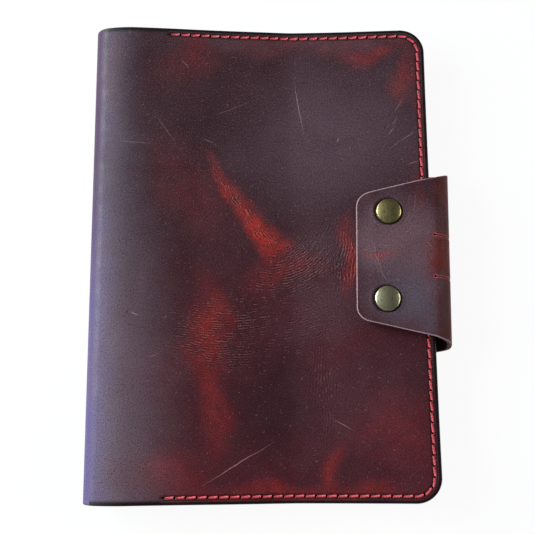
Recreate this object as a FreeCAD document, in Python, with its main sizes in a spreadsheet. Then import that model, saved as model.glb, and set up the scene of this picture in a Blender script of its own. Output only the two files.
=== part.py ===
"""Leather cover for an A5 notebook, closed by a strap with two snaps.

Millimetres. X runs from the spine to the fore-edge, Y along the spine towards the head of the
book, Z up from the table. The cover lies closed on its back. The origin is on the table, under
the middle of the box round the whole cover.

One sheet of leather makes the back, the spine, the front and the strap. It bends along the spine
and along the strap's fold, so there it is divided into strips. Each fold line lies on the outer
face of the leather, where the strips touch, so that they part on the inside as the cover opens.
"""
import FreeCAD, Part
import os

import Sketcher

SIZES = {
    # the closed cover
    "cover_width": 165.0,
    "cover_height": 231.0,
    "corner_radius": 12.0,
    "leather_thickness": 2.0,
    "spine_radius": 12.0,
    "book_room": 6.6,
    "flat_width": 75.0,
    "swell_root_radius": 50.0,
    # cuts between the strips at a fold line
    "strip_gap": 0.1,
    "spine_strip_angle": 60.0,
    "fold_strip_angle": 60.0,
    # pocket panels and their seams
    "panel_thickness": 1.4,
    "pocket_depth": 130.0,
    "pocket_gap": 1.0,
    "seam_margin": 5.0,
    "seam_inset": 3.0,
    "seam_setback": 2.5,
    "thread_width": 1.0,
    "thread_height": 0.7,
    "groove_depth": 0.5,
    "groove_clearance": 0.1,
    # strap
    "strap_reach": 35.0,
    "strap_tip_width": 57.5,
    "strap_taper": 14.0,
    "strap_tip_radius": 9.5,
    "fold_radius": 8.6,
    "slit_spacing": 20.0,
    "slit_width": 0.8,
    "slit_inset": 6.0,
    "stop_hole_diameter": 2.4,
    # snaps
    "snap_gap": 3.2,
    "snap_from_tip": 14.8,
    "snap_spacing": 42.2,
    "cap_diameter": 12.5,
    "cap_height": 2.2,
    "cap_rim": 0.7,
    "cap_bevel_width": 1.0,
    "cap_bevel_height": 0.9,
    "post_diameter": 3.4,
    "clinch_overlap": 1.1,
    "clinch_height": 0.3,
    "socket_diameter": 10.6,
    "socket_sheet": 0.4,
    "socket_wall": 0.9,
    "spring_width": 0.6,
    "spring_height": 0.6,
    "spring_angle": 330.0,
    "stud_flange_diameter": 10.0,
    "stud_flange_height": 0.4,
    "stud_neck_height": 0.2,
    "stud_neck_diameter": 4.6,
    "stud_ball_diameter": 6.0,
    "stud_ball_height": 1.3,
    "stud_clinch_height": 0.2,
    "eyelet_flange_diameter": 10.4,
    "eyelet_flange_height": 0.4,
    "eyelet_pin_diameter": 3.0,
    "fit_clearance": 0.05,
    "snap_grip_clearance": 0.7,
    "snap_running_clearance": 0.3,
}

# Sizes worked out from the driving ones, in the order of use.
LAYOUT = {
    # along X
    "spine_x": "-(Sizes.cover_width + Sizes.fold_radius) / 2",
    "fore_x": "spine_x + Sizes.cover_width",
    "crest_x": "spine_x + Sizes.spine_radius",
    "flat_x": "fore_x - Sizes.flat_width",
    "mouth_x": "fore_x - Sizes.pocket_depth",
    "seam_x": "fore_x - Sizes.seam_inset",
    "seam_start_x": "mouth_x + Sizes.seam_setback",
    "tip_x": "fore_x - Sizes.strap_reach",
    "snap_x": "tip_x + Sizes.snap_from_tip",
    # along Y
    "edge_y": "Sizes.cover_height / 2",
    "seam_y": "edge_y - Sizes.seam_inset",
    "snap_y": "Sizes.snap_spacing / 2",
    "slit_y": "Sizes.slit_spacing / 2",
    # up Z
    "pocket_height": "Sizes.pocket_gap + Sizes.panel_thickness",
    "front_z": "2 * (Sizes.leather_thickness + pocket_height) + Sizes.book_room",
    "strap_z": "front_z + Sizes.snap_gap",
    "fold_top_z": "strap_z + Sizes.leather_thickness",
    # the front rises from its flat part to the crest beside the spine in two arcs that meet
    "swell_rise": "2 * Sizes.spine_radius - front_z",
    "swell_run": "flat_x - crest_x",
    "swell_turn": "2 * atan(swell_rise / swell_run)",
    "swell_crest_radius": "swell_run / sin(swell_turn) - Sizes.swell_root_radius",
    "swell_centre_z": "2 * Sizes.spine_radius - swell_crest_radius",
    # half of the gap between strips, as a turn about the middle of each bend
    "spine_gap_turn": "Sizes.strip_gap / 2 / Sizes.spine_radius * 180 / pi",
    "fold_gap_turn": "Sizes.strip_gap / 2 / Sizes.fold_radius * 180 / pi",
    # half widths of the strap at its fold lines, from the taper along the leather
    "taper": "tan(Sizes.strap_taper)",
    "fold_middle_radius": "Sizes.fold_radius - Sizes.leather_thickness / 2",
    "fold_end_length": "fold_middle_radius * Sizes.fold_strip_angle * pi / 180",
    "fold_side_length": "2 * fold_middle_radius * (90 - Sizes.fold_strip_angle) * pi / 180"
                        " + fold_top_z - 2 * Sizes.fold_radius",
    "strap_tip_half": "Sizes.strap_tip_width / 2",
    "flap_root_half": "strap_tip_half + Sizes.strap_reach * taper",
    "fold_upper_half": "flap_root_half + fold_end_length * taper",
    "fold_lower_half": "fold_upper_half + fold_side_length * taper",
    "back_root_half": "fold_lower_half + fold_end_length * taper",
    "fold_strip_x": "fore_x + Sizes.fold_radius * sin(Sizes.fold_strip_angle)",
    "fold_lower_z": "Sizes.fold_radius * (1 - cos(Sizes.fold_strip_angle))",
    "fold_upper_z": "fold_top_z - fold_lower_z",
    "slit_x": "fore_x + Sizes.fold_radius - Sizes.slit_inset",
    # snaps
    "socket_height": "Sizes.snap_gap - Sizes.stud_flange_height - Sizes.snap_running_clearance",
    "socket_mouth_radius": "Sizes.stud_ball_diameter / 2 + Sizes.snap_grip_clearance",
    "socket_bore_radius": "Sizes.socket_diameter / 2 - Sizes.socket_wall",
    "spring_radius": "socket_bore_radius - Sizes.fit_clearance",
    "stud_top": "Sizes.stud_flange_height + Sizes.stud_neck_height + Sizes.stud_ball_height",
}

# A cut reaches one corner radius past the piece that it trims.
PAST_THE_EDGE = "Sizes.corner_radius"

FULL_TURN = "360"

LEFT = 1
RIGHT = -1


def add_sizes(document):
    """Spreadsheet with one named row for each driving size."""
    sheet = document.addObject("Spreadsheet::Sheet", "Sizes")
    for row, (name, value) in enumerate(SIZES.items(), start=1):
        sheet.set(f"A{row}", name)
        sheet.set(f"B{row}", str(value))
        sheet.setAlias(f"B{row}", name)
    document.recompute()


def add_layout(document):
    """Places and lengths that follow from the sizes."""
    layout = document.addObject("App::VarSet", "Layout")
    for name, formula in LAYOUT.items():
        layout.addProperty("App::PropertyFloat", name, "Layout", "")
        layout.setExpression(name, formula)
    document.recompute()


def add_body(document, label):
    """Empty body named for its piece."""
    body = document.addObject("PartDesign::Body", label)
    body.Label = label
    return body


def add_sketch(body, name, plane):
    """Empty sketch on one of the body's own planes."""
    sketch = body.newObject("Sketcher::SketchObject", name)
    support = next(item for item in body.Origin.OriginFeatures if item.Role == plane)
    sketch.AttachmentSupport = [(support, "")]
    sketch.MapMode = "FlatFace"
    return sketch


def value_of(sketch, formula):
    """Number that a formula gives now."""
    result = sketch.evalExpression(formula)
    return float(getattr(result, "Value", result))


def arc_between(start, end, radius, side):
    """Short arc between two points, with its centre to the left or right of the way."""
    chord = end - start
    middle = (start + end) / 2
    across = FreeCAD.Vector(-chord.y, chord.x, 0).normalize() * side
    centre = middle + across * (radius ** 2 - (chord.Length / 2) ** 2) ** 0.5
    circle = Part.Circle(centre, FreeCAD.Vector(0, 0, 1), radius)
    first, last = (start, end) if side == LEFT else (end, start)
    return Part.ArcOfCircle(circle, circle.parameter(first), circle.parameter(last))


def bind(sketch, constraint, name, formula):
    """Add a constraint whose value follows a formula."""
    index = sketch.addConstraint(constraint)
    sketch.renameConstraint(index, name)
    sketch.setExpression(f"Constraints.{name}", formula)


def draw_outline(sketch, corners):
    """Closed outline through corners, each (x, y) or (x, y, radius, side) where an arc follows."""
    points = [
        FreeCAD.Vector(value_of(sketch, corner[0]), value_of(sketch, corner[1]), 0)
        for corner in corners
    ]
    first_edge = sketch.GeometryCount
    starts = []
    ends = []
    for index, corner in enumerate(corners):
        start = points[index]
        end = points[(index + 1) % len(points)]
        edge = first_edge + index
        is_arc = len(corner) > 2
        if is_arc:
            sketch.addGeometry(arc_between(start, end, value_of(sketch, corner[2]), corner[3]), False)
        else:
            sketch.addGeometry(Part.LineSegment(start, end), False)
        runs_backwards = is_arc and corner[3] == RIGHT
        starts.append((edge, 2 if runs_backwards else 1))
        ends.append((edge, 1 if runs_backwards else 2))
    for index, corner in enumerate(corners):
        edge, end_point = starts[index]
        sketch.addConstraint(Sketcher.Constraint("Coincident", *ends[index - 1], *starts[index]))
        across = Sketcher.Constraint("DistanceX", -1, 1, edge, end_point, points[index].x)
        up = Sketcher.Constraint("DistanceY", -1, 1, edge, end_point, points[index].y)
        bind(sketch, across, f"across_{edge}", corner[0])
        bind(sketch, up, f"up_{edge}", corner[1])
        if len(corner) > 2:
            radius = Sketcher.Constraint("Radius", edge, value_of(sketch, corner[2]))
            bind(sketch, radius, f"radius_{edge}", corner[2])


def draw_circle(sketch, x, y, diameter):
    """Circle whose centre and diameter follow formulas."""
    centre = FreeCAD.Vector(value_of(sketch, x), value_of(sketch, y), 0)
    circle = Part.Circle(centre, FreeCAD.Vector(0, 0, 1), value_of(sketch, diameter) / 2)
    edge = sketch.addGeometry(circle, False)
    bind(sketch, Sketcher.Constraint("DistanceX", -1, 1, edge, 3, centre.x), f"across_{edge}", x)
    bind(sketch, Sketcher.Constraint("DistanceY", -1, 1, edge, 3, centre.y), f"up_{edge}", y)
    bind(sketch, Sketcher.Constraint("Diameter", edge, 2 * circle.Radius), f"size_{edge}", diameter)


def pad_both_ways(body, sketch, length):
    """Pad centred on the sketch plane."""
    pad = body.newObject("PartDesign::Pad", "Pad")
    pad.Profile = sketch
    pad.SideType = "Symmetric"
    pad.setExpression("Length", length)


def pad_up(body, sketch, length):
    """Pad that rises from the sketch plane."""
    pad = body.newObject("PartDesign::Pad", "Pad")
    pad.Profile = sketch
    pad.setExpression("Length", length)


def pocket_through(body, sketch):
    """Cut through the whole piece, both ways from the sketch plane."""
    pocket = body.newObject("PartDesign::Pocket", "Cut")
    pocket.Profile = sketch
    pocket.Type = "ThroughAll"
    pocket.SideType = "Symmetric"


def pocket_up(body, sketch, depth):
    """Recess that rises from the sketch plane into the piece above it."""
    pocket = body.newObject("PartDesign::Pocket", "Recess")
    pocket.Profile = sketch
    pocket.Reversed = True
    pocket.setExpression("Length", depth)


def revolve(body, sketch, turn):
    """Solid of revolution about the body's own Z axis."""
    solid = body.newObject("PartDesign::Revolution", "Revolution")
    solid.Profile = sketch
    solid.ReferenceAxis = (sketch, ["V_Axis"])
    solid.setExpression("Angle", turn)


def place(body, x, y, z):
    """Bind the body's place to formulas."""
    for axis, formula in (("x", x), ("y", y), ("z", z)):
        body.setExpression(f".Placement.Base.{axis}", formula)


def page_corners(start_x, edge_x, edge_y, radius):
    """Plan of a board: square towards the spine, rounded at the fore-edge."""
    return [
        (start_x, f"-({edge_y})"),
        (f"{edge_x} - ({radius})", f"-({edge_y})", radius, LEFT),
        (edge_x, f"-({edge_y}) + ({radius})"),
        (edge_x, f"({edge_y}) - ({radius})", radius, LEFT),
        (f"{edge_x} - ({radius})", edge_y),
        (start_x, edge_y),
    ]


def seam_track(width):
    """Plan of the seam: a U along the head, the fore-edge and the tail, as wide as asked."""
    outer_x = f"Layout.seam_x + ({width}) / 2"
    outer_y = f"Layout.seam_y + ({width}) / 2"
    outer_radius = f"Sizes.corner_radius - Sizes.seam_inset + ({width}) / 2"
    inner_x = f"Layout.seam_x - ({width}) / 2"
    inner_y = f"Layout.seam_y - ({width}) / 2"
    inner_radius = f"Sizes.corner_radius - Sizes.seam_inset - ({width}) / 2"
    outer = page_corners("Layout.seam_start_x", outer_x, outer_y, outer_radius)
    inner = [
        ("Layout.seam_start_x", inner_y),
        (f"{inner_x} - ({inner_radius})", inner_y, inner_radius, RIGHT),
        (inner_x, f"{inner_y} - ({inner_radius})"),
        (inner_x, f"-({inner_y}) + ({inner_radius})", inner_radius, RIGHT),
        (f"{inner_x} - ({inner_radius})", f"-({inner_y})"),
        ("Layout.seam_start_x", f"-({inner_y})"),
    ]
    return outer + inner


def round_fore_corners(body, edge_x, edge_y, radius):
    """Cut the two square fore-edge corners of a padded piece to a round."""
    sketch = add_sketch(body, "CornerPlan", "XY_Plane")
    for sign, side in (("", RIGHT), ("-", LEFT)):
        draw_outline(sketch, [
            (f"{edge_x} - ({radius})", f"{sign}({edge_y})", radius, side),
            (edge_x, f"{sign}({edge_y} - ({radius}))"),
            (f"{edge_x} + {PAST_THE_EDGE}", f"{sign}({edge_y} - ({radius}))"),
            (f"{edge_x} + {PAST_THE_EDGE}", f"{sign}({edge_y} + {PAST_THE_EDGE})"),
            (f"{edge_x} - ({radius})", f"{sign}({edge_y} + {PAST_THE_EDGE})"),
        ])
    pocket_through(body, sketch)


def front_section(start_x, end_x, upper, lower):
    """Section of a layer of the front, between two depths below its outer face.

    From the spine side: the arc of the crest, the arc of the root, then the flat part.
    """
    def crest_z(depth):
        radius = f"(Layout.swell_crest_radius - ({depth}))"
        reach = f"({start_x} - Layout.crest_x)"
        return f"Layout.swell_centre_z + sqrt({radius} ^ 2 - {reach} ^ 2)"

    def meeting_point(depth):
        radius = f"(Layout.swell_crest_radius - ({depth}))"
        return (
            f"Layout.crest_x + {radius} * sin(Layout.swell_turn)",
            f"Layout.swell_centre_z + {radius} * cos(Layout.swell_turn)",
        )

    return [
        (start_x, crest_z(upper), f"Layout.swell_crest_radius - ({upper})", RIGHT),
        (*meeting_point(upper), f"Sizes.swell_root_radius + ({upper})", LEFT),
        ("Layout.flat_x", f"Layout.front_z - ({upper})"),
        (end_x, f"Layout.front_z - ({upper})"),
        (end_x, f"Layout.front_z - ({lower})"),
        ("Layout.flat_x", f"Layout.front_z - ({lower})", f"Sizes.swell_root_radius + ({lower})", RIGHT),
        (*meeting_point(lower), f"Layout.swell_crest_radius - ({lower})", LEFT),
        (start_x, crest_z(lower)),
    ]


def add_front_layer(document, label, start_x, edge_x, edge_y, radius, upper, lower):
    """Sheet that follows the front's section, with rounded fore-edge corners."""
    body = add_body(document, label)
    sketch = add_sketch(body, "Section", "XZ_Plane")
    draw_outline(sketch, front_section(start_x, edge_x, upper, lower))
    pad_both_ways(body, sketch, f"2 * ({edge_y})")
    round_fore_corners(body, edge_x, edge_y, radius)
    return body


def add_front_seam_run(document, label, width, upper, lower):
    """U of thread, or its groove, that follows the front's section between two depths."""
    radius = "Sizes.corner_radius - Sizes.seam_inset"
    body = add_front_layer(
        document, label, "Layout.seam_start_x",
        f"Layout.seam_x + ({width}) / 2", f"Layout.seam_y + ({width}) / 2",
        f"{radius} + ({width}) / 2", upper, lower,
    )
    sketch = add_sketch(body, "InsidePlan", "XY_Plane")
    draw_outline(sketch, page_corners(
        f"Layout.seam_start_x - {PAST_THE_EDGE}",
        f"Layout.seam_x - ({width}) / 2", f"Layout.seam_y - ({width}) / 2",
        f"{radius} - ({width}) / 2",
    ))
    pocket_through(body, sketch)
    return body


def add_back_leather(document):
    """Flat back that the cover lies on, with a groove for its seam."""
    body = add_body(document, "back_leather")
    sketch = add_sketch(body, "Plan", "XY_Plane")
    start_x = "Layout.crest_x + Sizes.strip_gap / 2"
    draw_outline(sketch, page_corners(start_x, "Layout.fore_x", "Layout.edge_y", "Sizes.corner_radius"))
    pad_up(body, sketch, "Sizes.leather_thickness")
    groove = add_sketch(body, "GroovePlan", "XY_Plane")
    draw_outline(groove, seam_track("Sizes.thread_width + 2 * Sizes.groove_clearance"))
    pocket_up(body, groove, "Sizes.thread_height")
    return body


def add_back_pocket_panel(document):
    """Inner panel of the back, sewn along three edges and open towards the spine."""
    body = add_body(document, "back_pocket_panel")
    sketch = add_sketch(body, "Plan", "XY_Plane")
    draw_outline(sketch, page_corners(
        "Layout.mouth_x", "Layout.fore_x", "Layout.edge_y", "Sizes.corner_radius",
    ))
    pad_up(body, sketch, "Layout.pocket_height")
    recess = add_sketch(body, "PocketPlan", "XY_Plane")
    draw_outline(recess, page_corners(
        f"Layout.mouth_x - {PAST_THE_EDGE}",
        "Layout.fore_x - Sizes.seam_margin", "Layout.edge_y - Sizes.seam_margin",
        "Sizes.corner_radius - Sizes.seam_margin",
    ))
    pocket_up(body, recess, "Sizes.pocket_gap")
    place(body, "0", "0", "Sizes.leather_thickness")
    return body


def add_back_seam_thread(document):
    """Thread of the back seam: one run flush in the groove below, one on the panel inside."""
    runs = []
    inside_z = "Sizes.leather_thickness + Layout.pocket_height"
    for label, z in (("back_seam_outer_run", "0"), ("back_seam_inner_run", inside_z)):
        body = add_body(document, label)
        sketch = add_sketch(body, "Plan", "XY_Plane")
        draw_outline(sketch, seam_track("Sizes.thread_width"))
        pad_up(body, sketch, "Sizes.thread_height")
        place(body, "0", "0", z)
        runs.append(body)
    return join_runs(document, "back_seam_thread", runs)


def join_runs(document, label, runs):
    """One thread out of its separate runs."""
    thread = document.addObject("Part::Compound", label)
    thread.Label = label
    thread.Links = runs
    return thread


def add_front_leather(document):
    """Front, swelling up to the spine, with its seam's groove and the holes of the snaps."""
    body = add_front_layer(
        document, "front_leather", "Layout.crest_x + Sizes.strip_gap / 2",
        "Layout.fore_x", "Layout.edge_y", "Sizes.corner_radius",
        "0", "Sizes.leather_thickness",
    )
    document.recompute()
    groove = add_front_seam_run(
        document, "front_groove", "Sizes.thread_width + 2 * Sizes.groove_clearance",
        "-Sizes.thread_height", "Sizes.groove_depth",
    )
    document.recompute()
    cut = body.newObject("PartDesign::Boolean", "GrooveCut")
    cut.Type = "Cut"
    cut.setObjects([groove])
    add_snap_holes(body, "Sizes.eyelet_pin_diameter + 2 * Sizes.fit_clearance")
    return body


def add_snap_holes(body, diameter):
    """Round hole through the leather under each snap."""
    holes = add_sketch(body, "SnapHoles", "XY_Plane")
    for sign in ("", "-"):
        draw_circle(holes, "Layout.snap_x", f"{sign}Layout.snap_y", diameter)
    pocket_through(body, holes)


def add_front_pocket_panel(document):
    """Inner panel of the front: it follows the swell and is open towards the spine."""
    leather = "Sizes.leather_thickness"
    body = add_front_layer(
        document, "front_pocket_panel", "Layout.mouth_x",
        "Layout.fore_x", "Layout.edge_y", "Sizes.corner_radius",
        leather, f"{leather} + Layout.pocket_height",
    )
    document.recompute()
    room = add_front_layer(
        document, "front_pocket_room", f"Layout.mouth_x - {PAST_THE_EDGE}",
        "Layout.fore_x - Sizes.seam_margin", "Layout.edge_y - Sizes.seam_margin",
        "Sizes.corner_radius - Sizes.seam_margin",
        f"{leather} - Sizes.pocket_gap", f"{leather} + Sizes.pocket_gap",
    )
    document.recompute()
    cut = body.newObject("PartDesign::Boolean", "PocketCut")
    cut.Type = "Cut"
    cut.setObjects([room])
    return body


def add_front_seam_thread(document):
    """Thread of the front seam: one run in the groove outside, one on the panel inside."""
    inside = "Sizes.leather_thickness + Layout.pocket_height"
    runs = [
        add_front_seam_run(
            document, "front_seam_outer_run", "Sizes.thread_width",
            "Sizes.groove_depth - Sizes.thread_height", "Sizes.groove_depth",
        ),
        add_front_seam_run(
            document, "front_seam_inner_run", "Sizes.thread_width",
            inside, f"{inside} + Sizes.thread_height",
        ),
    ]
    return join_runs(document, "front_seam_thread", runs)


def add_spine_strip(document, label, first_turn, last_turn):
    """Strip of the spine's half round, between two turns up from the table."""
    def on_round(turn, radius):
        return (
            f"Layout.crest_x - ({radius}) * sin({turn})",
            f"Sizes.spine_radius - ({radius}) * cos({turn})",
        )

    outer = "Sizes.spine_radius"
    inner = "Sizes.spine_radius - Sizes.leather_thickness"
    start = f"{first_turn} + Layout.spine_gap_turn"
    end = f"{last_turn} - Layout.spine_gap_turn"
    body = add_body(document, label)
    sketch = add_sketch(body, "Section", "XZ_Plane")
    draw_outline(sketch, [
        (*on_round(start, outer), outer, RIGHT),
        on_round(end, outer),
        (*on_round(end, inner), inner, LEFT),
        on_round(start, inner),
    ])
    pad_both_ways(body, sketch, "Sizes.cover_height")
    return body


def on_lower_fold(turn, radius):
    """Point of the fold's lower round, at a turn from its start on the back."""
    return (
        f"Layout.fore_x + ({radius}) * sin({turn})",
        f"Sizes.fold_radius - ({radius}) * cos({turn})",
    )


def on_upper_fold(turn, radius):
    """Point of the fold's upper round, at a turn from its end on the flap."""
    return (
        f"Layout.fore_x + ({radius}) * sin({turn})",
        f"Layout.fold_top_z - Sizes.fold_radius + ({radius}) * cos({turn})",
    )


def taper_sides(body, plane, start, start_half, end, end_half, along_first):
    """Trim both long sides of a strap strip to the taper between its two fold lines.

    The trim runs on past both fold lines at the same slope.
    """
    slope = f"(({end_half}) - ({start_half})) / (({end}) - ({start}))"
    before = f"({start}) - {PAST_THE_EDGE}"
    after = f"({end}) + {PAST_THE_EDGE}"
    before_half = f"({start_half}) - {PAST_THE_EDGE} * {slope}"
    after_half = f"({end_half}) + {PAST_THE_EDGE} * {slope}"
    sketch = add_sketch(body, "TaperPlan", plane)
    for sign in ("", "-"):
        corners = [
            (before, f"{sign}({before_half})"),
            (after, f"{sign}({after_half})"),
            (after, f"{sign}(Layout.edge_y)"),
            (before, f"{sign}(Layout.edge_y)"),
        ]
        if not along_first:
            corners = [(side, along) for along, side in corners]
        draw_outline(sketch, corners)
    pocket_through(body, sketch)


def slit_corners(start, end, sign):
    """Straight slit of the pen loop, from one place to another along the strap."""
    near = f"{sign}(Layout.slit_y - Sizes.slit_width / 2)"
    far = f"{sign}(Layout.slit_y + Sizes.slit_width / 2)"
    return [(start, near), (end, near), (end, far), (start, far)]


def add_fold_end_strip(document, label, on_fold, near_half, far_half, winding):
    """Strip that runs from the cover's fore-edge part way round the fold, with the slit's end."""
    outer = "Sizes.fold_radius"
    inner = "Sizes.fold_radius - Sizes.leather_thickness"
    start = "Layout.fold_gap_turn"
    end = "Sizes.fold_strip_angle - Layout.fold_gap_turn"
    body = add_body(document, label)
    section = add_sketch(body, "Section", "XZ_Plane")
    draw_outline(section, [
        (*on_fold(start, outer), outer, winding),
        on_fold(end, outer),
        (*on_fold(end, inner), inner, -winding),
        on_fold(start, inner),
    ])
    pad_both_ways(body, section, "Sizes.cover_height")
    taper_sides(body, "XY_Plane", "Layout.fore_x", near_half, "Layout.fold_strip_x", far_half, True)
    slits = add_sketch(body, "SlitPlan", "XY_Plane")
    for sign in ("", "-"):
        draw_outline(slits, slit_corners("Layout.slit_x", "Layout.fold_strip_x + Sizes.fold_radius", sign))
    pocket_through(body, slits)
    holes = add_sketch(body, "StopHoles", "XY_Plane")
    for sign in ("", "-"):
        draw_circle(holes, "Layout.slit_x", f"{sign}Layout.slit_y", "Sizes.stop_hole_diameter")
    pocket_through(body, holes)
    return body


def add_fold_middle_strip(document):
    """Upright strip at the outside of the fold. The slits part it into a band and two sides."""
    outer = "Sizes.fold_radius"
    inner = "Sizes.fold_radius - Sizes.leather_thickness"
    end = "Sizes.fold_strip_angle + Layout.fold_gap_turn"
    body = add_body(document, "strap_fold_middle")
    section = add_sketch(body, "Section", "XZ_Plane")
    draw_outline(section, [
        (*on_lower_fold(end, outer), outer, LEFT),
        on_lower_fold("90", outer),
        (*on_upper_fold("90", outer), outer, LEFT),
        on_upper_fold(end, outer),
        (*on_upper_fold(end, inner), inner, RIGHT),
        on_upper_fold("90", inner),
        (*on_lower_fold("90", inner), inner, RIGHT),
        on_lower_fold(end, inner),
    ])
    pad_both_ways(body, section, "Sizes.cover_height")
    taper_sides(
        body, "YZ_Plane", "Layout.fold_lower_z", "Layout.fold_lower_half",
        "Layout.fold_upper_z", "Layout.fold_upper_half", False,
    )
    slits = add_sketch(body, "SlitPlan", "YZ_Plane")
    for sign in ("", "-"):
        corners = slit_corners("0", "Layout.fold_top_z", sign)
        draw_outline(slits, [(side, along) for along, side in corners])
    pocket_through(body, slits)
    return body


def add_strap_flap(document):
    """Tapered flap that lies over the front, with the holes of the snap posts."""
    body = add_body(document, "strap_flap")
    root_x = "Layout.fore_x - Sizes.strip_gap / 2"
    root_half = "Layout.flap_root_half - Sizes.strip_gap / 2 * Layout.taper"
    # the tip's rounds touch the tip edge and the tapered sides
    radius = "Sizes.strap_tip_radius"
    round_reach = f"{radius} * tan((90 - Sizes.strap_taper) / 2)"
    round_end_x = f"Layout.tip_x + {round_reach} * cos(Sizes.strap_taper)"
    round_end_y = f"Layout.strap_tip_half + {round_reach} * sin(Sizes.strap_taper)"
    sketch = add_sketch(body, "Plan", "XY_Plane")
    draw_outline(sketch, [
        (root_x, f"-({root_half})"),
        (root_x, root_half),
        (round_end_x, round_end_y, radius, LEFT),
        ("Layout.tip_x", f"Layout.strap_tip_half - {round_reach}"),
        ("Layout.tip_x", f"-(Layout.strap_tip_half - {round_reach})", radius, LEFT),
        (round_end_x, f"-({round_end_y})"),
    ])
    pad_up(body, sketch, "Sizes.leather_thickness")
    add_snap_holes(body, "Sizes.post_diameter + 2 * Sizes.fit_clearance")
    place(body, "0", "0", "Layout.strap_z")
    return body


def add_turned_piece(document, label, snap_y, snap_z, outline, turn=FULL_TURN):
    """Turned piece of a snap, on the snap's own axis."""
    body = add_body(document, label)
    sketch = add_sketch(body, "Section", "XZ_Plane")
    draw_outline(sketch, outline)
    revolve(body, sketch, turn)
    place(body, "Layout.snap_x", snap_y, snap_z)
    return body


def add_snap_cap(document, label, snap_y):
    """Cap on the strap: an upright rim, a bevel and a low crown.

    Its post runs through the leather and clinches the socket.
    """
    radius = "Sizes.cap_diameter / 2"
    post = "Sizes.post_diameter / 2"
    clinch = "Sizes.post_diameter / 2 + Sizes.clinch_overlap"
    clinch_z = "-(Sizes.leather_thickness + Sizes.socket_sheet)"
    clinch_end_z = f"{clinch_z} - Sizes.clinch_height"
    return add_turned_piece(document, label, snap_y, "Layout.fold_top_z", [
        (post, "0"),
        (radius, "0"),
        (radius, "Sizes.cap_rim"),
        (f"{radius} - Sizes.cap_bevel_width", "Sizes.cap_rim + Sizes.cap_bevel_height"),
        ("0", "Sizes.cap_height"),
        ("0", clinch_end_z),
        (clinch, clinch_end_z),
        (clinch, clinch_z),
        (post, clinch_z),
    ])


def add_snap_socket(document, label, snap_y):
    """Pressed cup under the strap. Its inner lip holds the spring."""
    hole = "Sizes.post_diameter / 2 + Sizes.fit_clearance"
    outer = "Sizes.socket_diameter / 2"
    bore = "Layout.socket_bore_radius"
    mouth = "Layout.socket_mouth_radius"
    bottom = "-Layout.socket_height"
    lip = f"{bottom} + Sizes.socket_sheet"
    return add_turned_piece(document, label, snap_y, "Layout.strap_z", [
        (hole, "0"),
        (hole, "-Sizes.socket_sheet"),
        (bore, "-Sizes.socket_sheet"),
        (bore, lip),
        (mouth, lip),
        (mouth, bottom),
        (outer, bottom),
        (outer, "0"),
    ])


def add_snap_spring(document, label, snap_y):
    """Split ring that lies on the socket's lip and grips the stud."""
    outer = "Layout.spring_radius"
    inner = "Layout.spring_radius - Sizes.spring_width"
    bottom = "-Layout.socket_height + Sizes.socket_sheet + Sizes.fit_clearance"
    top = f"{bottom} + Sizes.spring_height"
    return add_turned_piece(document, label, snap_y, "Layout.strap_z", [
        (inner, bottom),
        (outer, bottom),
        (outer, top),
        (inner, top),
    ], "Sizes.spring_angle")


def add_snap_stud(document, label, snap_y):
    """Stud on the front: a flange, a neck and the ball that the spring grips."""
    bore = "Sizes.eyelet_pin_diameter / 2 + Sizes.fit_clearance"
    neck = "Sizes.stud_neck_diameter / 2"
    ball = "Sizes.stud_ball_diameter / 2"
    flange = "Sizes.stud_flange_diameter / 2"
    ball_start = "Sizes.stud_flange_height + Sizes.stud_neck_height"
    ball_middle = f"{ball_start} + Sizes.stud_ball_height / 2"
    return add_turned_piece(document, label, snap_y, "Layout.front_z", [
        (bore, "0"),
        (flange, "0"),
        (flange, "Sizes.stud_flange_height"),
        (neck, "Sizes.stud_flange_height"),
        (neck, ball_start),
        (ball, ball_middle),
        (neck, "Layout.stud_top"),
        (bore, "Layout.stud_top"),
    ])


def add_snap_eyelet(document, label, snap_y):
    """Eyelet inside the pocket. Its pin runs through the leather and clinches the stud."""
    pin = "Sizes.eyelet_pin_diameter / 2"
    flange = "Sizes.eyelet_flange_diameter / 2"
    clinch = "Sizes.stud_neck_diameter / 2 - Sizes.fit_clearance"
    stud_top = "Sizes.leather_thickness + Layout.stud_top"
    clinch_top = f"{stud_top} + Sizes.stud_clinch_height"
    return add_turned_piece(document, label, snap_y, "Layout.front_z - Sizes.leather_thickness", [
        ("0", "-Sizes.eyelet_flange_height"),
        (flange, "-Sizes.eyelet_flange_height"),
        (flange, "0"),
        (pin, "0"),
        (pin, stud_top),
        (clinch, stud_top),
        (clinch, clinch_top),
        ("0", clinch_top),
    ])


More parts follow.
